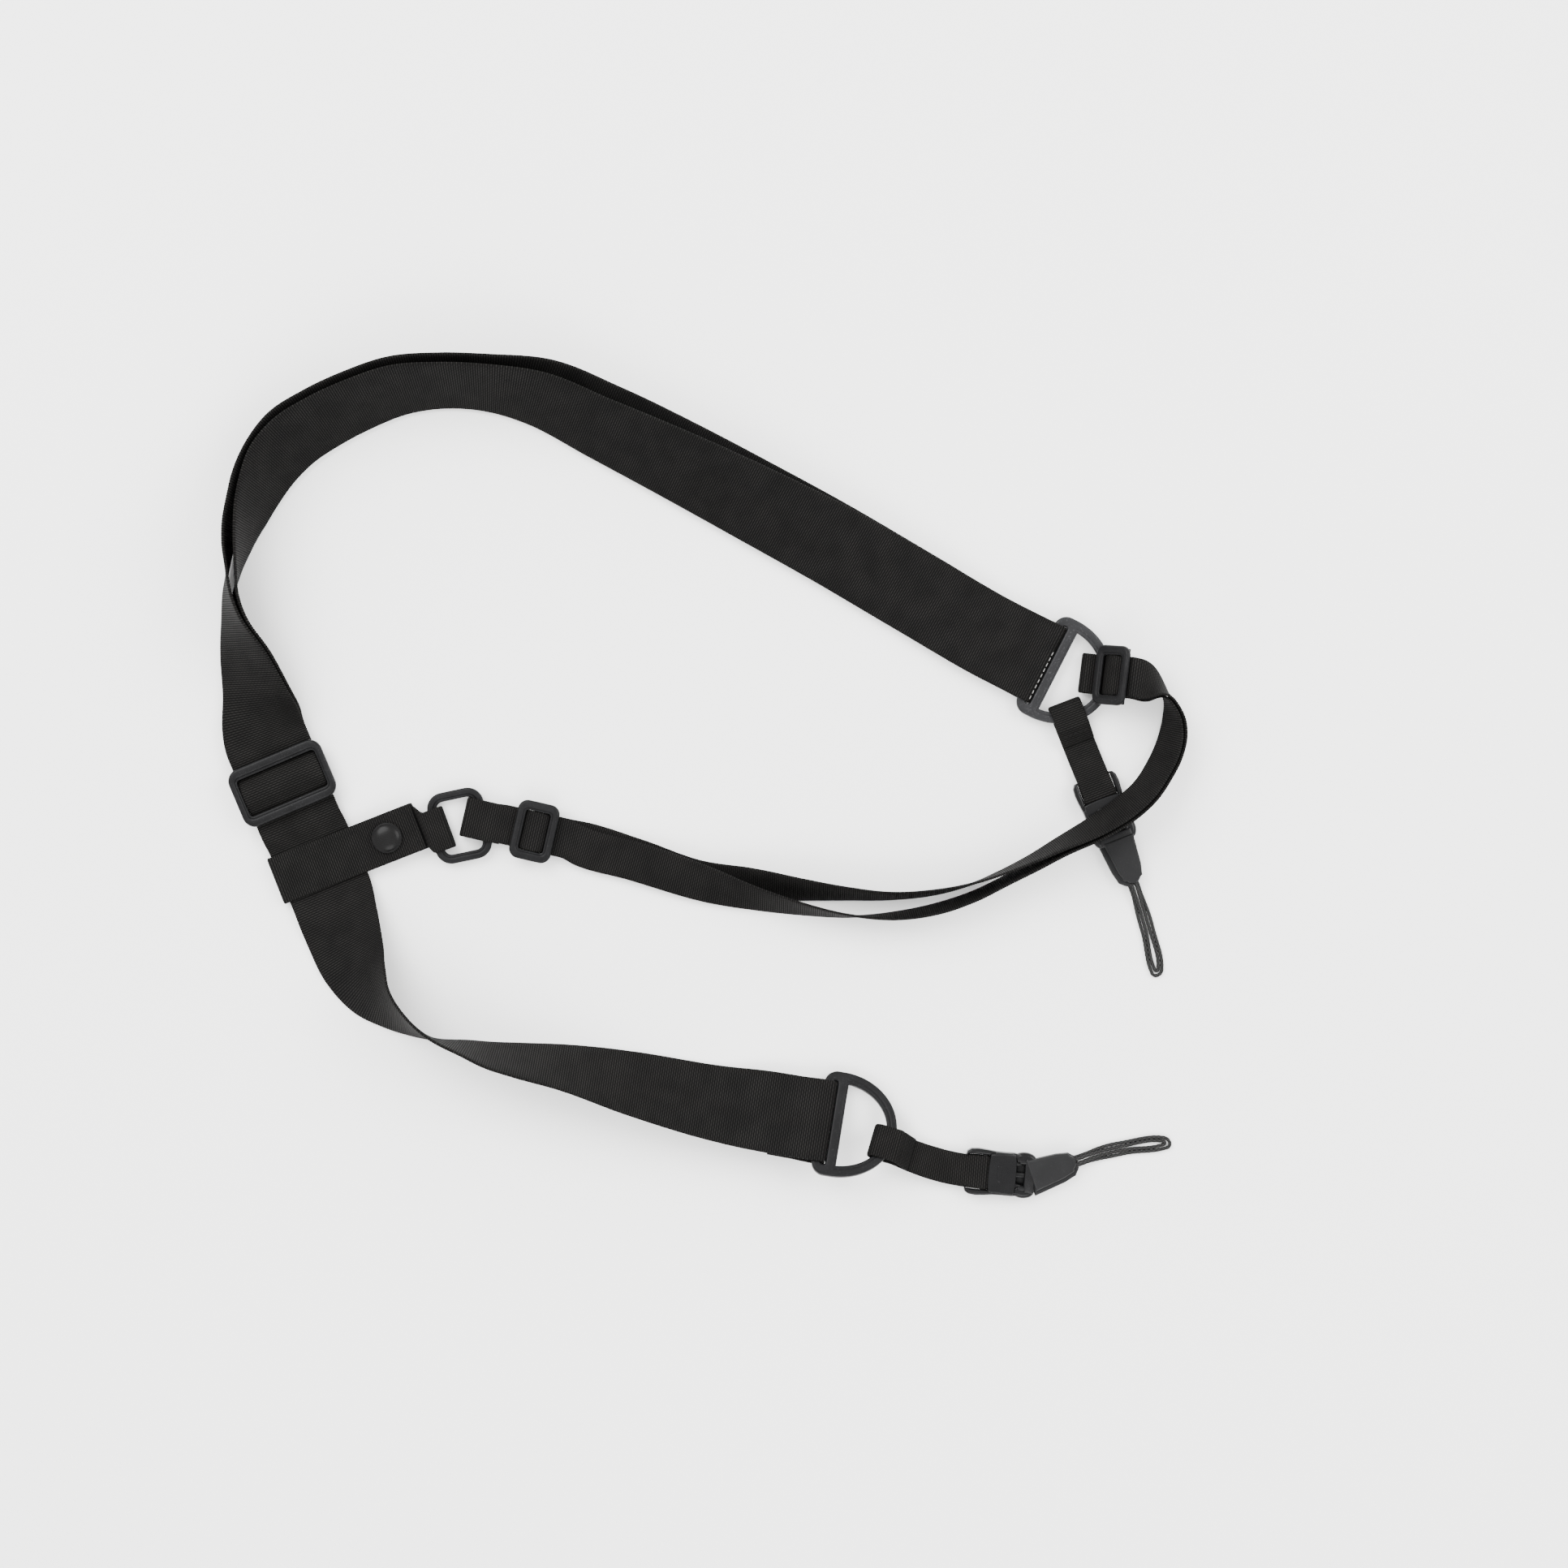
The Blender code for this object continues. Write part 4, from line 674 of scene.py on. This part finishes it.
def makeWebbing(name, route, width, thickness, pitch, material, node, cells=10):
    # a grid laid along the route with its ribs raised, then thickened, thinner at the woven edges
    stations = evenStations(route, pitch / 2)
    rows = len(stations)
    normals = []
    for index in range(rows):
        ahead = stations[min(index + 2, rows - 1)][0] - stations[max(index - 2, 0)][0]
        normals.append(ahead.cross(stations[index][1]).normalized())
    inner = width / 2 - 0.0011
    columns = [-width / 2, -width / 2 + 0.0004] + [inner * (2 * i / (cells - 4) - 1) for i in range(cells - 3)]
    columns += [width / 2 - 0.0004, width / 2]
    bpy.ops.mesh.primitive_grid_add(x_subdivisions=cells, y_subdivisions=rows - 1, size=1.0)
    piece = bpy.context.object
    piece.name = name
    piece.data.name = name
    weight = piece.vertex_groups.new(name="wall")
    spots = {}
    edges = {0: [], 1: [], 2: []}
    for vertex in piece.data.vertices:
        column = round((vertex.co.x + 0.5) * cells)
        row = round((vertex.co.y + 0.5) * (rows - 1))
        centre, across, along = stations[row]
        fromEdge = min(column, cells - column)
        raised = webbing["ribHeight"] * (1 if row % 2 else -1) * (0.5 if fromEdge == 0 else 1.0)
        notch = 0.00012 if row % 2 and fromEdge == 0 else 0.0
        sideways = columns[column] + math.copysign(notch, columns[column])
        vertex.co = centre + across * sideways + normals[row] * raised
        spots[vertex.index] = (columns[column], row * pitch / 2)
        edges[min(fromEdge, 2)].append(vertex.index)
    for key, share in ((0, 0.45), (1, 0.86), (2, 1.0)):
        weight.add(edges[key], share, "REPLACE")
    uv = piece.data.uv_layers.active
    for loop in piece.data.loops:
        uv.data[loop.index].uv = spots[loop.vertex_index]
    wall = piece.modifiers.new("wall", "SOLIDIFY")
    wall.thickness = thickness - webbing["ribHeight"]
    wall.offset = 0.0
    wall.vertex_group = "wall"
    wall.use_quality_normals = True
    applyAll(piece)
    finishPiece(piece, material, (node,), 75)
    print(name, "length", round(stations[-1][2], 4), "triangles", len(piece.data.polygons) * 2)
    return stations


def arc(centreX, centreY, radiusX, radiusY, start, stop, steps):
    return [(centreX + radiusX * math.cos(math.radians(start + (stop - start) * step / steps)),
             centreY + radiusY * math.sin(math.radians(start + (stop - start) * step / steps)))
            for step in range(steps + 1)]


def roundedBox(xMin, xMax, yMin, yMax, radius, steps=10):
    corners = ((xMax - radius, yMax - radius, 0), (xMin + radius, yMax - radius, 90),
               (xMin + radius, yMin + radius, 180), (xMax - radius, yMin + radius, 270))
    points = []
    for x, y, start in corners:
        points += arc(x, y, radius, radius, start, start + 90, steps)
    return points


def plate(name, outlines, bottom, top, rounding, segments=4):
    # a flat curve with its holes, made thick with rounded edges, then made a mesh
    shape = bpy.data.curves.new(name, "CURVE")
    shape.dimensions = "2D"
    shape.fill_mode = "BOTH"
    shape.extrude = (top - bottom) / 2 - rounding
    shape.bevel_depth = rounding
    shape.bevel_resolution = segments
    shape.offset = -rounding
    for outline in outlines:
        line = shape.splines.new("POLY")
        line.points.add(len(outline) - 1)
        for point, (x, y) in zip(line.points, outline):
            point.co = (x, y, 0.0, 1.0)
        line.use_cyclic_u = True
    piece = bpy.data.objects.new(name, shape)
    bpy.context.scene.collection.objects.link(piece)
    pick(piece)
    bpy.ops.object.convert(target="MESH")
    piece = bpy.context.object
    bpy.ops.object.mode_set(mode="EDIT")
    bpy.ops.mesh.select_all(action="SELECT")
    bpy.ops.mesh.remove_doubles(threshold=1e-6)
    bpy.ops.mesh.normals_make_consistent(inside=False)
    bpy.ops.object.mode_set(mode="OBJECT")
    piece.data.transform(Matrix.Translation((0.0, 0.0, (top + bottom) / 2)))
    return piece


def block(name, xMin, xMax, yMin, yMax, zMin, zMax, rounding, segments=3):
    middle = ((xMax + xMin) / 2, (yMax + yMin) / 2, (zMax + zMin) / 2)
    bpy.ops.mesh.primitive_cube_add(size=1.0, location=middle, scale=(xMax - xMin, yMax - yMin, zMax - zMin))
    piece = bpy.context.object
    piece.name = name
    bpy.ops.object.transform_apply(location=True, rotation=True, scale=True)
    bpy.ops.object.mode_set(mode="EDIT")
    bpy.ops.mesh.select_all(action="SELECT")
    bpy.ops.mesh.bevel(offset=rounding, segments=segments, affect="EDGES", clamp_overlap=True)
    bpy.ops.object.mode_set(mode="OBJECT")
    return piece


def ringOutline(inset=0.0):
    back = -(ring["slot"] + ring["outerBar"]) + inset
    corner = ring["corner"] - inset
    cornerY = ring["halfLength"] - ring["corner"]
    arcX = ring["innerBar"] * 0.4
    outline = arc(arcX, 0.0, ring["depth"] - arcX - inset, ring["halfLength"] - inset, -90, 90, 56)
    outline += arc(back + corner, cornerY, corner, corner, 90, 180, 10)
    return outline + arc(back + corner, -cornerY, corner, corner, 180, 270, 10)


def ringOpening(band, barInset=0.0):
    arcX = ring["innerBar"] * 0.4
    depth = ring["depth"] - arcX - band
    half = ring["halfLength"] - band * 1.08
    cut = math.degrees(math.asin(min(0.9, (ring["innerBar"] - barInset - arcX) / depth)))
    return arc(arcX, 0.0, depth, half, cut - 90, 90 - cut, 48)


def makeRing(name, spot, material):
    half = ring["thickness"] / 2
    slotY = strap["width"] / 2 + 0.0006
    # the slot stops 1.05 mm short of x = 0, so the inner bar reaches into it and its dark plastic fills the gap beside
    # the wrapped webbing: painted shade in place of the shadowed gap
    slot = roundedBox(-ring["slot"], -0.00105, -slotY, slotY, ring["slot"] * 0.3, 4)
    lipBand = ring["band"] * 0.74
    body = plate(name, [ringOutline(), ringOpening(lipBand, 0.0006), slot], -half, half, 0.0011, 5)
    lip = plate(name + "Lip", [ringOutline(ring["band"] * 0.45), ringOpening(ring["band"]), slot],
                -half + 0.0004, half - 0.0004, 0.0006, 3)
    whole = joinPieces(name, [body, lip])
    layDown(whole, spot)
    finishPiece(whole, material, (name,))


def makeSlider(name, spot, size, webWidth, thickness, material):
    stack = sliderStack(thickness, size["bar"])
    halfX = size["depth"] / 2
    halfY = size["length"] / 2
    rail = size["rail"]
    windowY = webWidth / 2 + 0.0002
    reachIn = rail * 1.22
    low = stack["rail"]
    high = low + size["height"]
    outline = roundedBox(-halfX, halfX, -halfY, halfY, rail * 1.4)
    wide = roundedBox(-halfX + rail, halfX - rail, -windowY - 0.0006, windowY + 0.0006, rail * 0.6, 8)
    window = roundedBox(-halfX + reachIn, halfX - reachIn, -windowY, windowY, rail * 0.4, 6)
    inner = roundedBox(-halfX + rail * 0.4, halfX - rail * 0.4, -halfY + rail * 0.35, halfY - rail * 0.35, rail, 8)
    frameBody = plate(name, [outline, wide], low, high, min(size["height"] * 0.4, 0.0012), 5)
    lip = plate(name + "Lip", [inner, window], low + size["height"] * 0.28, high - size["height"] * 0.22, 0.0005, 3)
    pieces = [frameBody, lip, block(name + "Bar", -size["bar"] / 2, size["bar"] / 2, -halfY + rail * 0.3,
                                    halfY - rail * 0.3, stack["bar"] - size["bar"] / 2,
                                    stack["bar"] + size["bar"] / 2, size["bar"] * 0.25)]
    for side in (-1, 1):
        near, far = sorted((side * windowY, side * (halfY - 0.0008)))
        pieces.append(block(name + "End", -halfX + reachIn, halfX - reachIn, near, far, stack["bar"] - size["bar"] / 2,
                            low + size["height"] / 2, 0.0004))
    whole = joinPieces(name, pieces)
    layDown(whole, spot)
    finishPiece(whole, material, (name,))


def makeSmallRing(spot):
    halfX = smallRing["depth"] / 2
    halfY = smallRing["length"] / 2
    band = smallRing["band"]
    half = smallRing["thickness"] / 2

    def box(inset):
        return roundedBox(-halfX + inset, halfX - inset, -halfY + inset, halfY - inset,
                          max(smallRing["corner"] - inset, 0.003), 10)

    body = plate("smallRing", [box(0.0), box(band * 0.72)], -half, half, 0.0009, 5)
    lip = plate("smallRingLip", [box(band * 0.4), box(band)], -half + 0.0006, half - 0.0006, 0.0005, 3)
    whole = joinPieces("smallRing", [body, lip])
    layDown(whole, spot)
    finishPiece(whole, "satinPlastic", ("small_ring",))


def makeSnapCap(spot):
    # a domed cap spun from its profile, with a narrow rolled rim
    radius = snap["radius"]
    height = snap["height"]
    profile = [(0.0, height), (0.2, height * 0.985), (0.4, height * 0.94), (0.6, height * 0.84), (0.76, height * 0.68),
               (0.87, height * 0.48), (0.91, height * 0.36), (0.93, height * 0.32), (0.97, height * 0.34),
               (1.0, height * 0.22), (1.0, height * 0.08), (0.97, 0.0), (0.0, 0.0)]
    mesh = bpy.data.meshes.new("snapCap")
    mesh.from_pydata([(share * radius, 0.0, z) for share, z in profile],
                     [(i, i + 1) for i in range(len(profile) - 1)], [])
    cap = bpy.data.objects.new("snapCap", mesh)
    bpy.context.scene.collection.objects.link(cap)
    pick(cap)
    bpy.ops.object.mode_set(mode="EDIT")
    bpy.ops.mesh.select_all(action="SELECT")
    bpy.ops.mesh.spin(steps=72, angle=2 * math.pi, center=(0, 0, 0), axis=(0, 0, 1))
    bpy.ops.mesh.select_all(action="SELECT")
    bpy.ops.mesh.remove_doubles(threshold=1e-6)
    bpy.ops.mesh.normals_make_consistent(inside=False)
    bpy.ops.object.mode_set(mode="OBJECT")
    layDown(cap, spot)
    finishPiece(cap, "enamel", ("snap_cap",), 50)


def coverPlace(turn):
    stop = buckle["armFront"] + buckle["fit"] + buckle["shoulder"]
    return Matrix.Translation((stop, 0.0, 0.0)) @ Matrix.Rotation(math.radians(turn), 4, "Z")


def makeReceiver(key, spot):
    halfY = link["width"] / 2 + 0.0006 + buckle["armWidth"]
    start = buckle["bodyStart"]
    stop = start + buckle["bodyLength"]
    high = buckle["height"]
    wall = halfY - buckle["armWidth"]
    name = "receiver_" + key
    near = start - 0.0013
    panel = [(near, -halfY + 0.0012), (stop, -halfY + 0.0005)]
    panel += arc(stop + 0.0004, 0.0, 0.0012, halfY - 0.0006, -90, 90, 12)
    panel += [(near, halfY - 0.0012)] + arc(near, 0.0, -0.0008, halfY - 0.0012, 90, -90, 12)[1:-1]
    pieces = [plate(name, [panel], high - 0.0019, high, 0.0007),
              plate(name + "Base", [panel], 0.0, 0.0016, 0.0006)]
    raised = roundedBox(start + 0.0020, start + 0.0040, -0.0038, 0.0038, 0.0008, 5)
    pieces.append(plate(name + "Mark", [raised], high - 0.0006, high + 0.0002, 0.0003, 2))
    for side in (-1, 1):
        # side arm: bulges out round the webbing and narrows to the mouth
        outer = [(-0.0090, 0.0072), (-0.0086, 0.0092), (-0.0068, 0.0104), (-0.0035, 0.0107), (0.0005, 0.0104),
                 (0.0045, 0.0099), (0.0085, 0.0098), (0.0128, 0.0099), (0.0160, 0.0094), (0.0165, 0.0084)]
        within = [(0.0160, 0.0079), (0.0100, 0.0079), (0.0030, 0.0080), (-0.0040, 0.0082), (-0.0078, 0.0080)]
        outline = [(x, side * y) for x, y in outer + within]
        pieces.append(plate(name + "Arm", [outline], high / 2 - 0.0026, high / 2 + 0.0026, 0.0009, 4))
        near, far = sorted((side * (wall - 0.0004), side * (halfY - 0.0002)))
        pieces.append(block(name + "Wall", start + 0.0004, stop - 0.0002, near, far, 0.0006, high - 0.0006, 0.0005))
    pieces.append(block(name + "Bar", -buckle["bar"] / 2, buckle["bar"] / 2, -halfY + 0.0006, halfY - 0.0006,
                        high / 2 - buckle["bar"] / 2, high / 2 + buckle["bar"] / 2, buckle["bar"] * 0.3))
    whole = joinPieces(name, pieces)
    layDown(whole, spot)
    finishPiece(whole, "glossPlastic", ("buckle_body_" + key,))


def makePlug(key, spot):
    name = "plug_" + key
    high = buckle["height"]
    start = buckle["armFront"] + buckle["fit"]
    stop = start + buckle["shoulder"]
    reach = link["width"] / 2 + 0.0006 - buckle["fit"]
    pieces = [block(name, start + 0.0012, stop + 0.0006, -0.0078, 0.0078, 0.0006, high - 0.0010, 0.0008)]
    mouth = buckle["bodyStart"] + buckle["bodyLength"] + 0.0018
    pieces.append(block(name + "Sole", mouth, stop, -0.0074, 0.0074, 0.0004, 0.0016, 0.0004))
    for middle, width in ((-reach + 0.0013, 0.0026), (0.0, 0.0022), (reach - 0.0013, 0.0026)):
        # spring finger, bowed towards the middle
        bow = -math.copysign(0.0012, middle) if middle else 0.0
        outline = [(start - 0.0110, middle - width / 2), (start - 0.0040, middle + bow - width / 2),
                   (start + 0.0020, middle - width / 2), (start + 0.0020, middle + width / 2),
                   (start - 0.0040, middle + bow + width / 2), (start - 0.0110, middle + width / 2)]
        pieces.append(plate(name + "Finger", [outline], 0.0022, high - 0.0022, 0.0006, 3))
    for side in (-1, 1):
        # squeeze lobe at the side of the mouth
        lobe = arc(0.0180, side * 0.0074, 0.0052, 0.0031, 0, 360, 28)[:-1]
        pieces.append(plate(name + "Lobe", [lobe], 0.0006, high - 0.0016, 0.0019, 6))
        near, far = sorted((side * 0.0052, side * 0.0070))
        pieces.append(block(name + "Web", start - 0.0016, stop, near, far, 0.0008, high - 0.0012, 0.0006))
    whole = joinPieces(name, pieces)
    layDown(whole, spot)
    finishPiece(whole, "glossPlastic", ("buckle_plug_" + key,))

    root = buckle["width"] / 2 - 0.0004
    tip = buckle["coverTip"] / 2
    length = buckle["coverLength"]

    def coverOutline(inset, shift=0.0):
        side = [(-0.0022 + inset, -root + inset), (length * 0.22, -root * 0.92 + inset),
                (length * 0.60, -root * 0.82 + inset), (length * 0.86 - inset * 0.3, -tip * 1.05 + inset)]
        outline = side + arc(length - tip * 0.6 - inset, 0.0, tip * 0.6, tip * 0.86 - inset, -62, 62, 10)
        outline += [(x, -y) for x, y in reversed(side)]
        return [(x, y + shift) for x, y in outline]

    base = plate("cover", [coverOutline(0.0, -0.0006)], 0.0003, high * 0.62, 0.0014, 5)
    panel = plate("coverPanel", [coverOutline(0.0011, 0.0007)], high * 0.35, high - 0.0003, 0.0011, 5)
    cover = joinPieces("cover_" + key, [base, panel])
    layDown(cover, spot @ coverPlace(coverTurns[key]))
    finishPiece(cover, "mattePlastic", ("buckle_plug_" + key,))


# Cords: four thin braided strands in each bundle, as two loops, one inside the other

cordLoop = {"length": 0.044, "diameter": 0.0017, "bow": {"a": -0.10, "b": -0.14}, "cadDiameter": 0.0018}


def cordPath(key, spot, length, spread, gathered, raised):
    tipPlace = Matrix.Translation((buckle["coverLength"] - 0.0012, 0.0, buckle["height"] / 2))
    start = spot @ coverPlace(coverTurns[key]) @ tipPlace
    radius = cordLoop["diameter"] / 2
    drop = buckle["height"] / 2 + lay["shift"][2] - radius - 0.0001
    bow = cordLoop["bow"][key] * cordLoop["length"]
    endX = length - spread * 1.05
    rows = [(0.0, gathered, 0.0, 1.0), (0.06, gathered, 0.04, 1.0), (0.14, gathered, 0.34, 0.9),
            (0.24, (gathered + spread) / 2, 0.76, 0.6), (0.36, spread, 0.98, 0.2), (0.55, spread, 1.0, 0.0),
            (endX / length, spread, 1.0, 0.0)]
    knots = []
    for share, side, fall, lift in rows:
        bowed = bow * (share * length / cordLoop["length"]) ** 2
        knots.append(Vector((share * length, side + bowed, raised * lift - drop * fall)))
    radiusEnd = spread
    bend = []
    for step in range(1, 6):
        angle = math.radians(90 - 30 * step)
        x = endX + (length - endX) * max(0.0, math.cos(angle))
        bend.append(Vector((x, radiusEnd * math.sin(angle) + bow * (x / cordLoop["length"]) ** 2, -drop)))
    back = [Vector((p.x, 2 * bow * (p.x / cordLoop["length"]) ** 2 - p.y, p.z)) for p in reversed(knots)]
    points = [start @ point for point in knots + bend + back]
    stations = [(point, up.copy()) for point in points]
    ends = [(points[0] * 2 - points[1], up.copy())], [(points[-1] * 2 - points[-2], up.copy())]
    middle = [station[0] for station in smoothRun(ends[0] + stations + ends[1], 0.0010)]
    path = [points[0]]
    for point in middle:
        if (point - path[-1]).length > 0.0002 and (point - points[-1]).length > 0.0002:
            path.append(point)
    return path + [points[-1]]


def makeCord(name, path, node):
    # a tube laid along its path with the crossing strands of the braid raised
    radius = cordLoop["diameter"] / 2
    sides = 14
    stations = evenStations([(point, up.copy()) for point in path], 0.00032)
    rows = len(stations)
    bpy.ops.mesh.primitive_grid_add(x_subdivisions=sides, y_subdivisions=rows - 1, size=1.0)
    piece = bpy.context.object
    piece.name = name
    piece.data.name = name
    spots = {}
    frames = []
    side = None
    for index in range(rows):
        ahead = (stations[min(index + 1, rows - 1)][0] - stations[max(index - 1, 0)][0]).normalized()
        side = (up if side is None else side) - ahead * ahead.dot(up if side is None else side)
        side.normalize()
        frames.append((side.copy(), ahead.cross(side)))
    for vertex in piece.data.vertices:
        column = round((vertex.co.x + 0.5) * sides)
        row = round((vertex.co.y + 0.5) * (rows - 1))
        angle = 2 * math.pi * (column % sides) / sides
        centre, _, along = stations[row]
        around = column / sides * 8.0
        braid = abs(math.sin((around + along / 0.0011) * math.pi / 2)) * abs(math.sin((around - along / 0.0011) * math.pi / 2))
        size = radius * (0.90 + 0.10 * braid)
        first, second = frames[row]
        vertex.co = centre + (first * math.cos(angle) + second * math.sin(angle)) * size
        spots[vertex.index] = (column / sides, along)
    uv = piece.data.uv_layers.active
    for loop in piece.data.loops:
        uv.data[loop.index].uv = spots[loop.vertex_index]
    pick(piece)
    bpy.ops.object.mode_set(mode="EDIT")
    bpy.ops.mesh.select_all(action="SELECT")
    bpy.ops.mesh.remove_doubles(threshold=1e-7)
    bpy.ops.mesh.fill_holes(sides=0)
    bpy.ops.mesh.normals_make_consistent(inside=False)
    bpy.ops.object.mode_set(mode="OBJECT")
    finishPiece(piece, "braid", (node,), 60)
    print(name, "length", round(stations[-1][2], 4))


spots, ringHeights = hardwareSpots()
for key in ("a", "b"):
    makeCord("cordOuter_" + key, cordPath(key, spots["buckle_" + key], 0.0440, 0.00265, 0.00195, -0.0006), "cord_loop_" + key)
    makeCord("cordInner_" + key, cordPath(key, spots["buckle_" + key], 0.0418, 0.00090, 0.00090, 0.0007), "cord_loop_" + key)
print("cords made")

# Webbing pieces

strapStations = makeWebbing("shoulderStrap", strapRoute(spots), strap["width"], strap["thickness"], strap["pitch"],
                            "wideWebbing", "shoulder_strap", 11)
narrowStations = makeWebbing("stabilizerStrap", narrowRoute(spots), narrow["width"], narrow["thickness"],
                             narrow["pitch"], "narrowWebbing", "stabilizer_strap", 8)
keeperStations = makeWebbing("keeperBand", keeperRoute(spots["keeper"]), keeper["width"], strap["thickness"],
                             strap["pitch"], "wideWebbing", "keeper_band", 9)
makeWebbing("tabLoop", tabRoute(spots["keeper"], spots["small_ring"]), keeper["tabWidth"], narrow["thickness"],
            narrow["pitch"], "narrowWebbing", "tab_loop", 8)
linkStations = {}
linkFolds = {}
for key in ("a", "b"):
    depthShare, sideShare, turn = linkPlaces[key]
    fold = spots["ring_" + key] @ Matrix.Translation((depthShare * ring["depth"], sideShare * ring["halfLength"], 0))
    fold = fold @ Matrix.Rotation(math.radians(turn), 4, "Z")
    linkFolds[key] = fold
    linkStations[key] = makeWebbing("linkWebbing_" + key, linkRoute(fold, spots["buckle_" + key], ringHeights[key]),
                                    link["width"], narrow["thickness"], narrow["pitch"], "narrowWebbing",
                                    "connector_webbing_" + key, 8)
print("webbing made")

# Moulded pieces

makeRing("ring_a", spots["ring_a"], "greyPlastic")
makeRing("ring_b", spots["ring_b"], "satinPlastic")
makeSlider("strap_slider", spots["strap_slider"], bigSlider, strap["width"], strap["thickness"], "satinPlastic")
makeSlider("slider_1", spots["slider_1"], smallSlider, narrow["width"], narrow["thickness"], "satinPlastic")
makeSlider("slider_2", spots["slider_2"], smallSlider, narrow["width"], narrow["thickness"], "satinPlastic")
makeSmallRing(spots["small_ring"])
_, _, overTab = keeperHeights()
capBase = overTab + strap["thickness"] / 2 + webbing["gap"]
makeSnapCap(spots["keeper"] @ Matrix.Translation((keeper["snapAt"], 0.0, capBase)))
nodes["snap_stud"].data.materials.clear()
nodes["snap_stud"].data.materials.append(materials["enamel"])
for key in ("a", "b"):
    makeReceiver(key, spots["buckle_" + key])
    makePlug(key, spots["buckle_" + key])
print("moulded pieces made")

# Stitches: one bead, copied along each sewn line, in millimetres of the hardware that the line lies by

stitch = {"length": 1.9 * mm, "width": 0.42 * mm, "height": 0.34 * mm, "step": 2.7 * mm}


def makeStitches(name, webName, spot, lines, material="thread"):
    web = bpy.data.objects[webName]
    bpy.ops.mesh.primitive_uv_sphere_add(segments=8, ring_count=6, radius=0.5)
    bead = bpy.context.object
    bead.scale = (stitch["length"], stitch["width"], stitch["height"])
    bpy.ops.object.transform_apply(location=True, rotation=True, scale=True)
    beads = []
    for line in lines:
        for (x1, y1), (x2, y2) in zip(line, line[1:]):
            first = spot @ Vector((x1 * mm, y1 * mm, 0.0))
            last = spot @ Vector((x2 * mm, y2 * mm, 0.0))
            count = max(1, round((last - first).length / stitch["step"]))
            for step in range(count):
                point = first.lerp(last, (step + 0.5) / count)
                found, place3, normal, _ = web.ray_cast(Vector((point.x, point.y, 0.1)), -up)
                if not found:
                    continue
                ahead = last - first
                ahead = (ahead - normal * ahead.dot(normal)).normalized()
                side = normal.cross(ahead)
                turn = Matrix((ahead, side, normal)).transposed().to_4x4()
                copy = bead.copy()
                copy.data = bead.data.copy()
                bpy.context.scene.collection.objects.link(copy)
                copy.data.transform(Matrix.Translation(place3 + normal * 0.02 * mm) @ turn)
                beads.append(copy)
    bpy.data.objects.remove(bead, do_unlink=True)
    whole = joinPieces(name, beads)
    layDown(whole)
    finishPiece(whole, material, (), 60)


bpy.context.view_layer.update()
keeperBox = [(-17.2, -8.3), (46.6, -8.3), (46.6, 8.3), (-17.2, 8.3), (-17.2, -8.3)]
makeStitches("keeperStitches", "keeperBand", spots["keeper"], [keeperBox])
makeStitches("foldStitches_a", "shoulderStrap", spots["ring_a"], [[(-2.0, -18.0), (-2.0, 7.0)]], "paleThread")
makeStitches("foldStitches_b", "shoulderStrap", spots["ring_b"],
             [[(-18.0, -15.5), (-18.0, 15.5)], [(-20.6, -15.5), (-20.6, 15.5)]])
for key in ("a", "b"):
    makeStitches("linkStitches_" + key, "linkWebbing_" + key, linkFolds[key],
                 [[(17.2, -6.3), (17.2, 6.3)], [(14.8, -6.3), (14.8, 6.3)]])
print("stitches made")

# Floor and light

bpy.ops.mesh.primitive_plane_add(size=6.0, location=(0.0, 0.0, -0.0001))
floor = bpy.context.object
floor.name = "studioFloor"
floorPaint = bpy.data.materials.new("floorPaint")
floorPaint.use_nodes = True
floorTree = floorPaint.node_tree
floorShader = floorTree.nodes["Principled BSDF"]
floorPoints = floorTree.nodes.new("ShaderNodeTexCoord")
floorCloud = speckle(floorTree, floorPoints.outputs["Object"], 3.0, 2.0)
floorTone = blendColours(floorTree, floorCloud, (0.90, 0.90, 0.893, 1), (0.93, 0.93, 0.923, 1))
floorTree.links.new(floorTone, floorShader.inputs["Base Color"])
floorShader.inputs["Roughness"].default_value = 0.6
floorShader.inputs["Specular IOR Level"].default_value = 0.2
floor.data.materials.append(floorPaint)

world = bpy.data.worlds.new("studioWorld")
bpy.context.scene.world = world
world.use_nodes = True
world.node_tree.nodes["Background"].inputs["Color"].default_value = (1.0, 1.0, 1.0, 1)
world.node_tree.nodes["Background"].inputs["Strength"].default_value = 2.40


def softLight(name, spot, aim, size, power):
    bpy.ops.object.light_add(type="AREA", location=spot)
    lamp = bpy.context.object
    lamp.name = name
    lamp.data.shape = "DISK"
    lamp.data.size = size
    lamp.data.energy = power
    lamp.rotation_euler = (Vector(aim) - Vector(spot)).to_track_quat("-Z", "Y").to_euler()


softLight("keyLight", (-0.9, 1.0, 1.6), (0, 0, 0), 1.5, 72.0)
softLight("sideLight", (1.3, 0.5, 1.3), (0, 0, 0), 1.2, 36.0)
softLight("backLight", (0.1, -1.4, 1.5), (0, 0, 0), 1.2, 28.0)
print("stage set")
